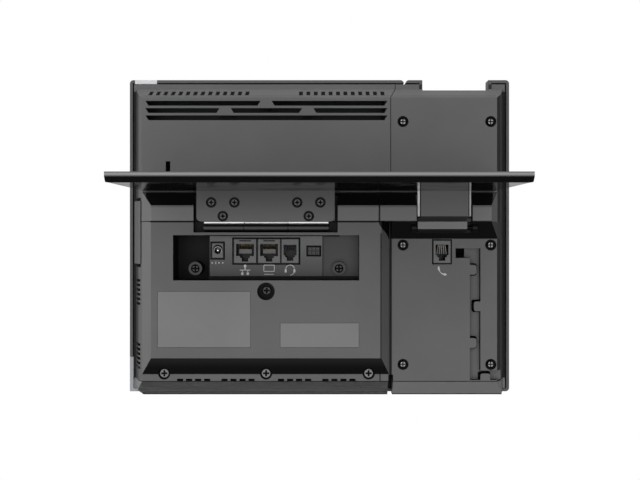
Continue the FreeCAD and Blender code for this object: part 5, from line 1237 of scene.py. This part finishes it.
def add_floor(colours):
    """A pale floor that fades to white, and lets the view and the lamps through from beneath."""
    reach, fade_start, fade_end = 3.0, 0.22, 0.5
    finish = Finish("Studio floor", Roughness=0.9)
    cloud = finish.noise(finish.place(), 2.0)
    finish.set("Base Color", finish.mix(cloud, shade(colours.floor, 0.985), shade(colours.floor)))
    under = finish.node("ShaderNodeNewGeometry", output="Backfacing")
    clear = finish.node("ShaderNodeBsdfTransparent")
    solid = Signal(finish, finish.shader.outputs[0])
    away = finish.node("ShaderNodeVectorMath", {"operation": "LENGTH"}, {0: finish.place()}, output="Value")
    white = finish.node("ShaderNodeEmission")
    fade = away.ramp(fade_start, fade_end)
    faded = finish.node("ShaderNodeMixShader", inputs={0: fade, 1: solid, 2: white})
    shown = finish.node("ShaderNodeMixShader", inputs={0: under, 1: faded, 2: clear})
    finish.feed(finish.tree.nodes["Material Output"].inputs["Surface"], shown)
    mesh = bmesh.new()
    corners = ((-reach, -reach, 0), (reach, -reach, 0), (reach, reach, 0), (-reach, reach, 0))
    mesh.faces.new([mesh.verts.new(corner) for corner in corners])
    made = placed("Floor", mesh, finish)
    made.visible_shadow = False
    made.visible_diffuse = False
    made.visible_glossy = False


def add_world():
    """White behind the object for the camera, and a soft grey sky that lights it."""
    world = bpy.data.worlds.new("Studio")
    world.use_nodes = True
    bpy.context.scene.world = world
    graph = Graph(world.node_tree)
    height = graph.axes(graph.node("ShaderNodeTexCoord", output="Generated"))[2]
    sky = {"Value": height, "From Min": -0.05, "From Max": 0.25, "To Min": 0.12, "To Max": 0.45}
    light = graph.node("ShaderNodeMapRange", inputs=sky)
    seen = graph.node("ShaderNodeLightPath", output="Is Camera Ray")
    strength = graph.node("ShaderNodeMapRange", inputs={"Value": seen, "To Min": light, "To Max": 1.0})
    background = graph.tree.nodes["Background"]
    graph.feed(background.inputs["Color"], (1.0, 1.0, 1.0, 1.0))
    graph.feed(background.inputs["Strength"], strength)


def add_lamp(name, place, size, watts):
    """A square soft box, placed in metres in the upright frame, which faces the phone."""
    data = bpy.data.lights.new(name, "AREA")
    data.energy = watts
    data.size = size
    made = linked(name, data)
    start, aim = UPRIGHT @ Vector(place), UPRIGHT @ Vector((0.0, 0.02, 0.09))
    made.matrix_world = Matrix.Translation(start) @ (aim - start).to_track_quat("-Z", "Y").to_matrix().to_4x4()
    return made


def add_camera(studio):
    """Square on to the back, level with the upper part of the port recess."""
    data = bpy.data.cameras.new("Camera")
    data.sensor_width = 36.0
    data.lens = studio.lens
    data.shift_y = studio.shift
    data.clip_start = 0.01
    made = linked("Camera", data)
    back_to_front = Matrix.Rotation(math.pi, 4, "Z") @ Matrix.Rotation(math.pi / 2, 4, "X")
    made.matrix_world = UPRIGHT @ Matrix.Translation((studio.aside, studio.away, studio.lift)) @ back_to_front
    bpy.context.scene.camera = made


class PHONE_OT_stage(PhoneOperator, bpy.types.Operator):
    """Set up the floor, lamps, world and camera"""

    bl_idname = "phone.stage"
    bl_label = "Studio"

    def build(self, colours, sizes, studio):
        add_floor(colours)
        add_world()
        add_lamp("Back", (0.12, 1.15, 0.1), 2.0, studio.back)
        add_lamp("Side", (1.05, 0.02, 0.12), 0.6, studio.side)
        add_lamp("Top", (0.0, 0.05, 1.1), 0.8, studio.top)
        for name, x in (("Front right", 0.45), ("Front left", -0.45)):
            add_lamp(name, (x, -1.2, 0.45), 0.8, studio.front).visible_glossy = False
        add_camera(studio)
        bpy.context.scene.view_settings.view_transform = "Standard"


class PHONE_PT_panel(bpy.types.Panel):
    """Steps that dress the phone, in order."""

    bl_idname = "PHONE_PT_panel"
    bl_label = "Desk phone"
    bl_space_type = "VIEW_3D"
    bl_region_type = "UI"
    bl_category = "Desk phone"

    def draw(self, context):
        for step in STEPS:
            self.layout.operator(step.bl_idname)
        for settings in (context.scene.phone_colours, context.scene.phone_sizes, context.scene.phone_studio):
            box = self.layout.box()
            for name in settings.__annotations__:
                box.prop(settings, name)


STEPS = (PHONE_OT_shells, PHONE_OT_stand, PHONE_OT_ports, PHONE_OT_front, PHONE_OT_inside, PHONE_OT_contacts,
         PHONE_OT_symbols, PHONE_OT_legends, PHONE_OT_stage)
CLASSES = (PhoneColours, PhoneSizes, PhoneStudio) + STEPS + (PHONE_PT_panel,)


def register():
    for made in CLASSES:
        bpy.utils.register_class(made)
    bpy.types.Scene.phone_colours = PointerProperty(type=PhoneColours)
    bpy.types.Scene.phone_sizes = PointerProperty(type=PhoneSizes)
    bpy.types.Scene.phone_studio = PointerProperty(type=PhoneStudio)


def unregister():
    del bpy.types.Scene.phone_studio
    del bpy.types.Scene.phone_sizes
    del bpy.types.Scene.phone_colours
    for made in reversed(CLASSES):
        bpy.utils.unregister_class(made)


def main():
    register()
    for step in STEPS:
        group, name = step.bl_idname.split(".")
        getattr(getattr(bpy.ops, group), name)()


if __name__ == "__main__":
    main()
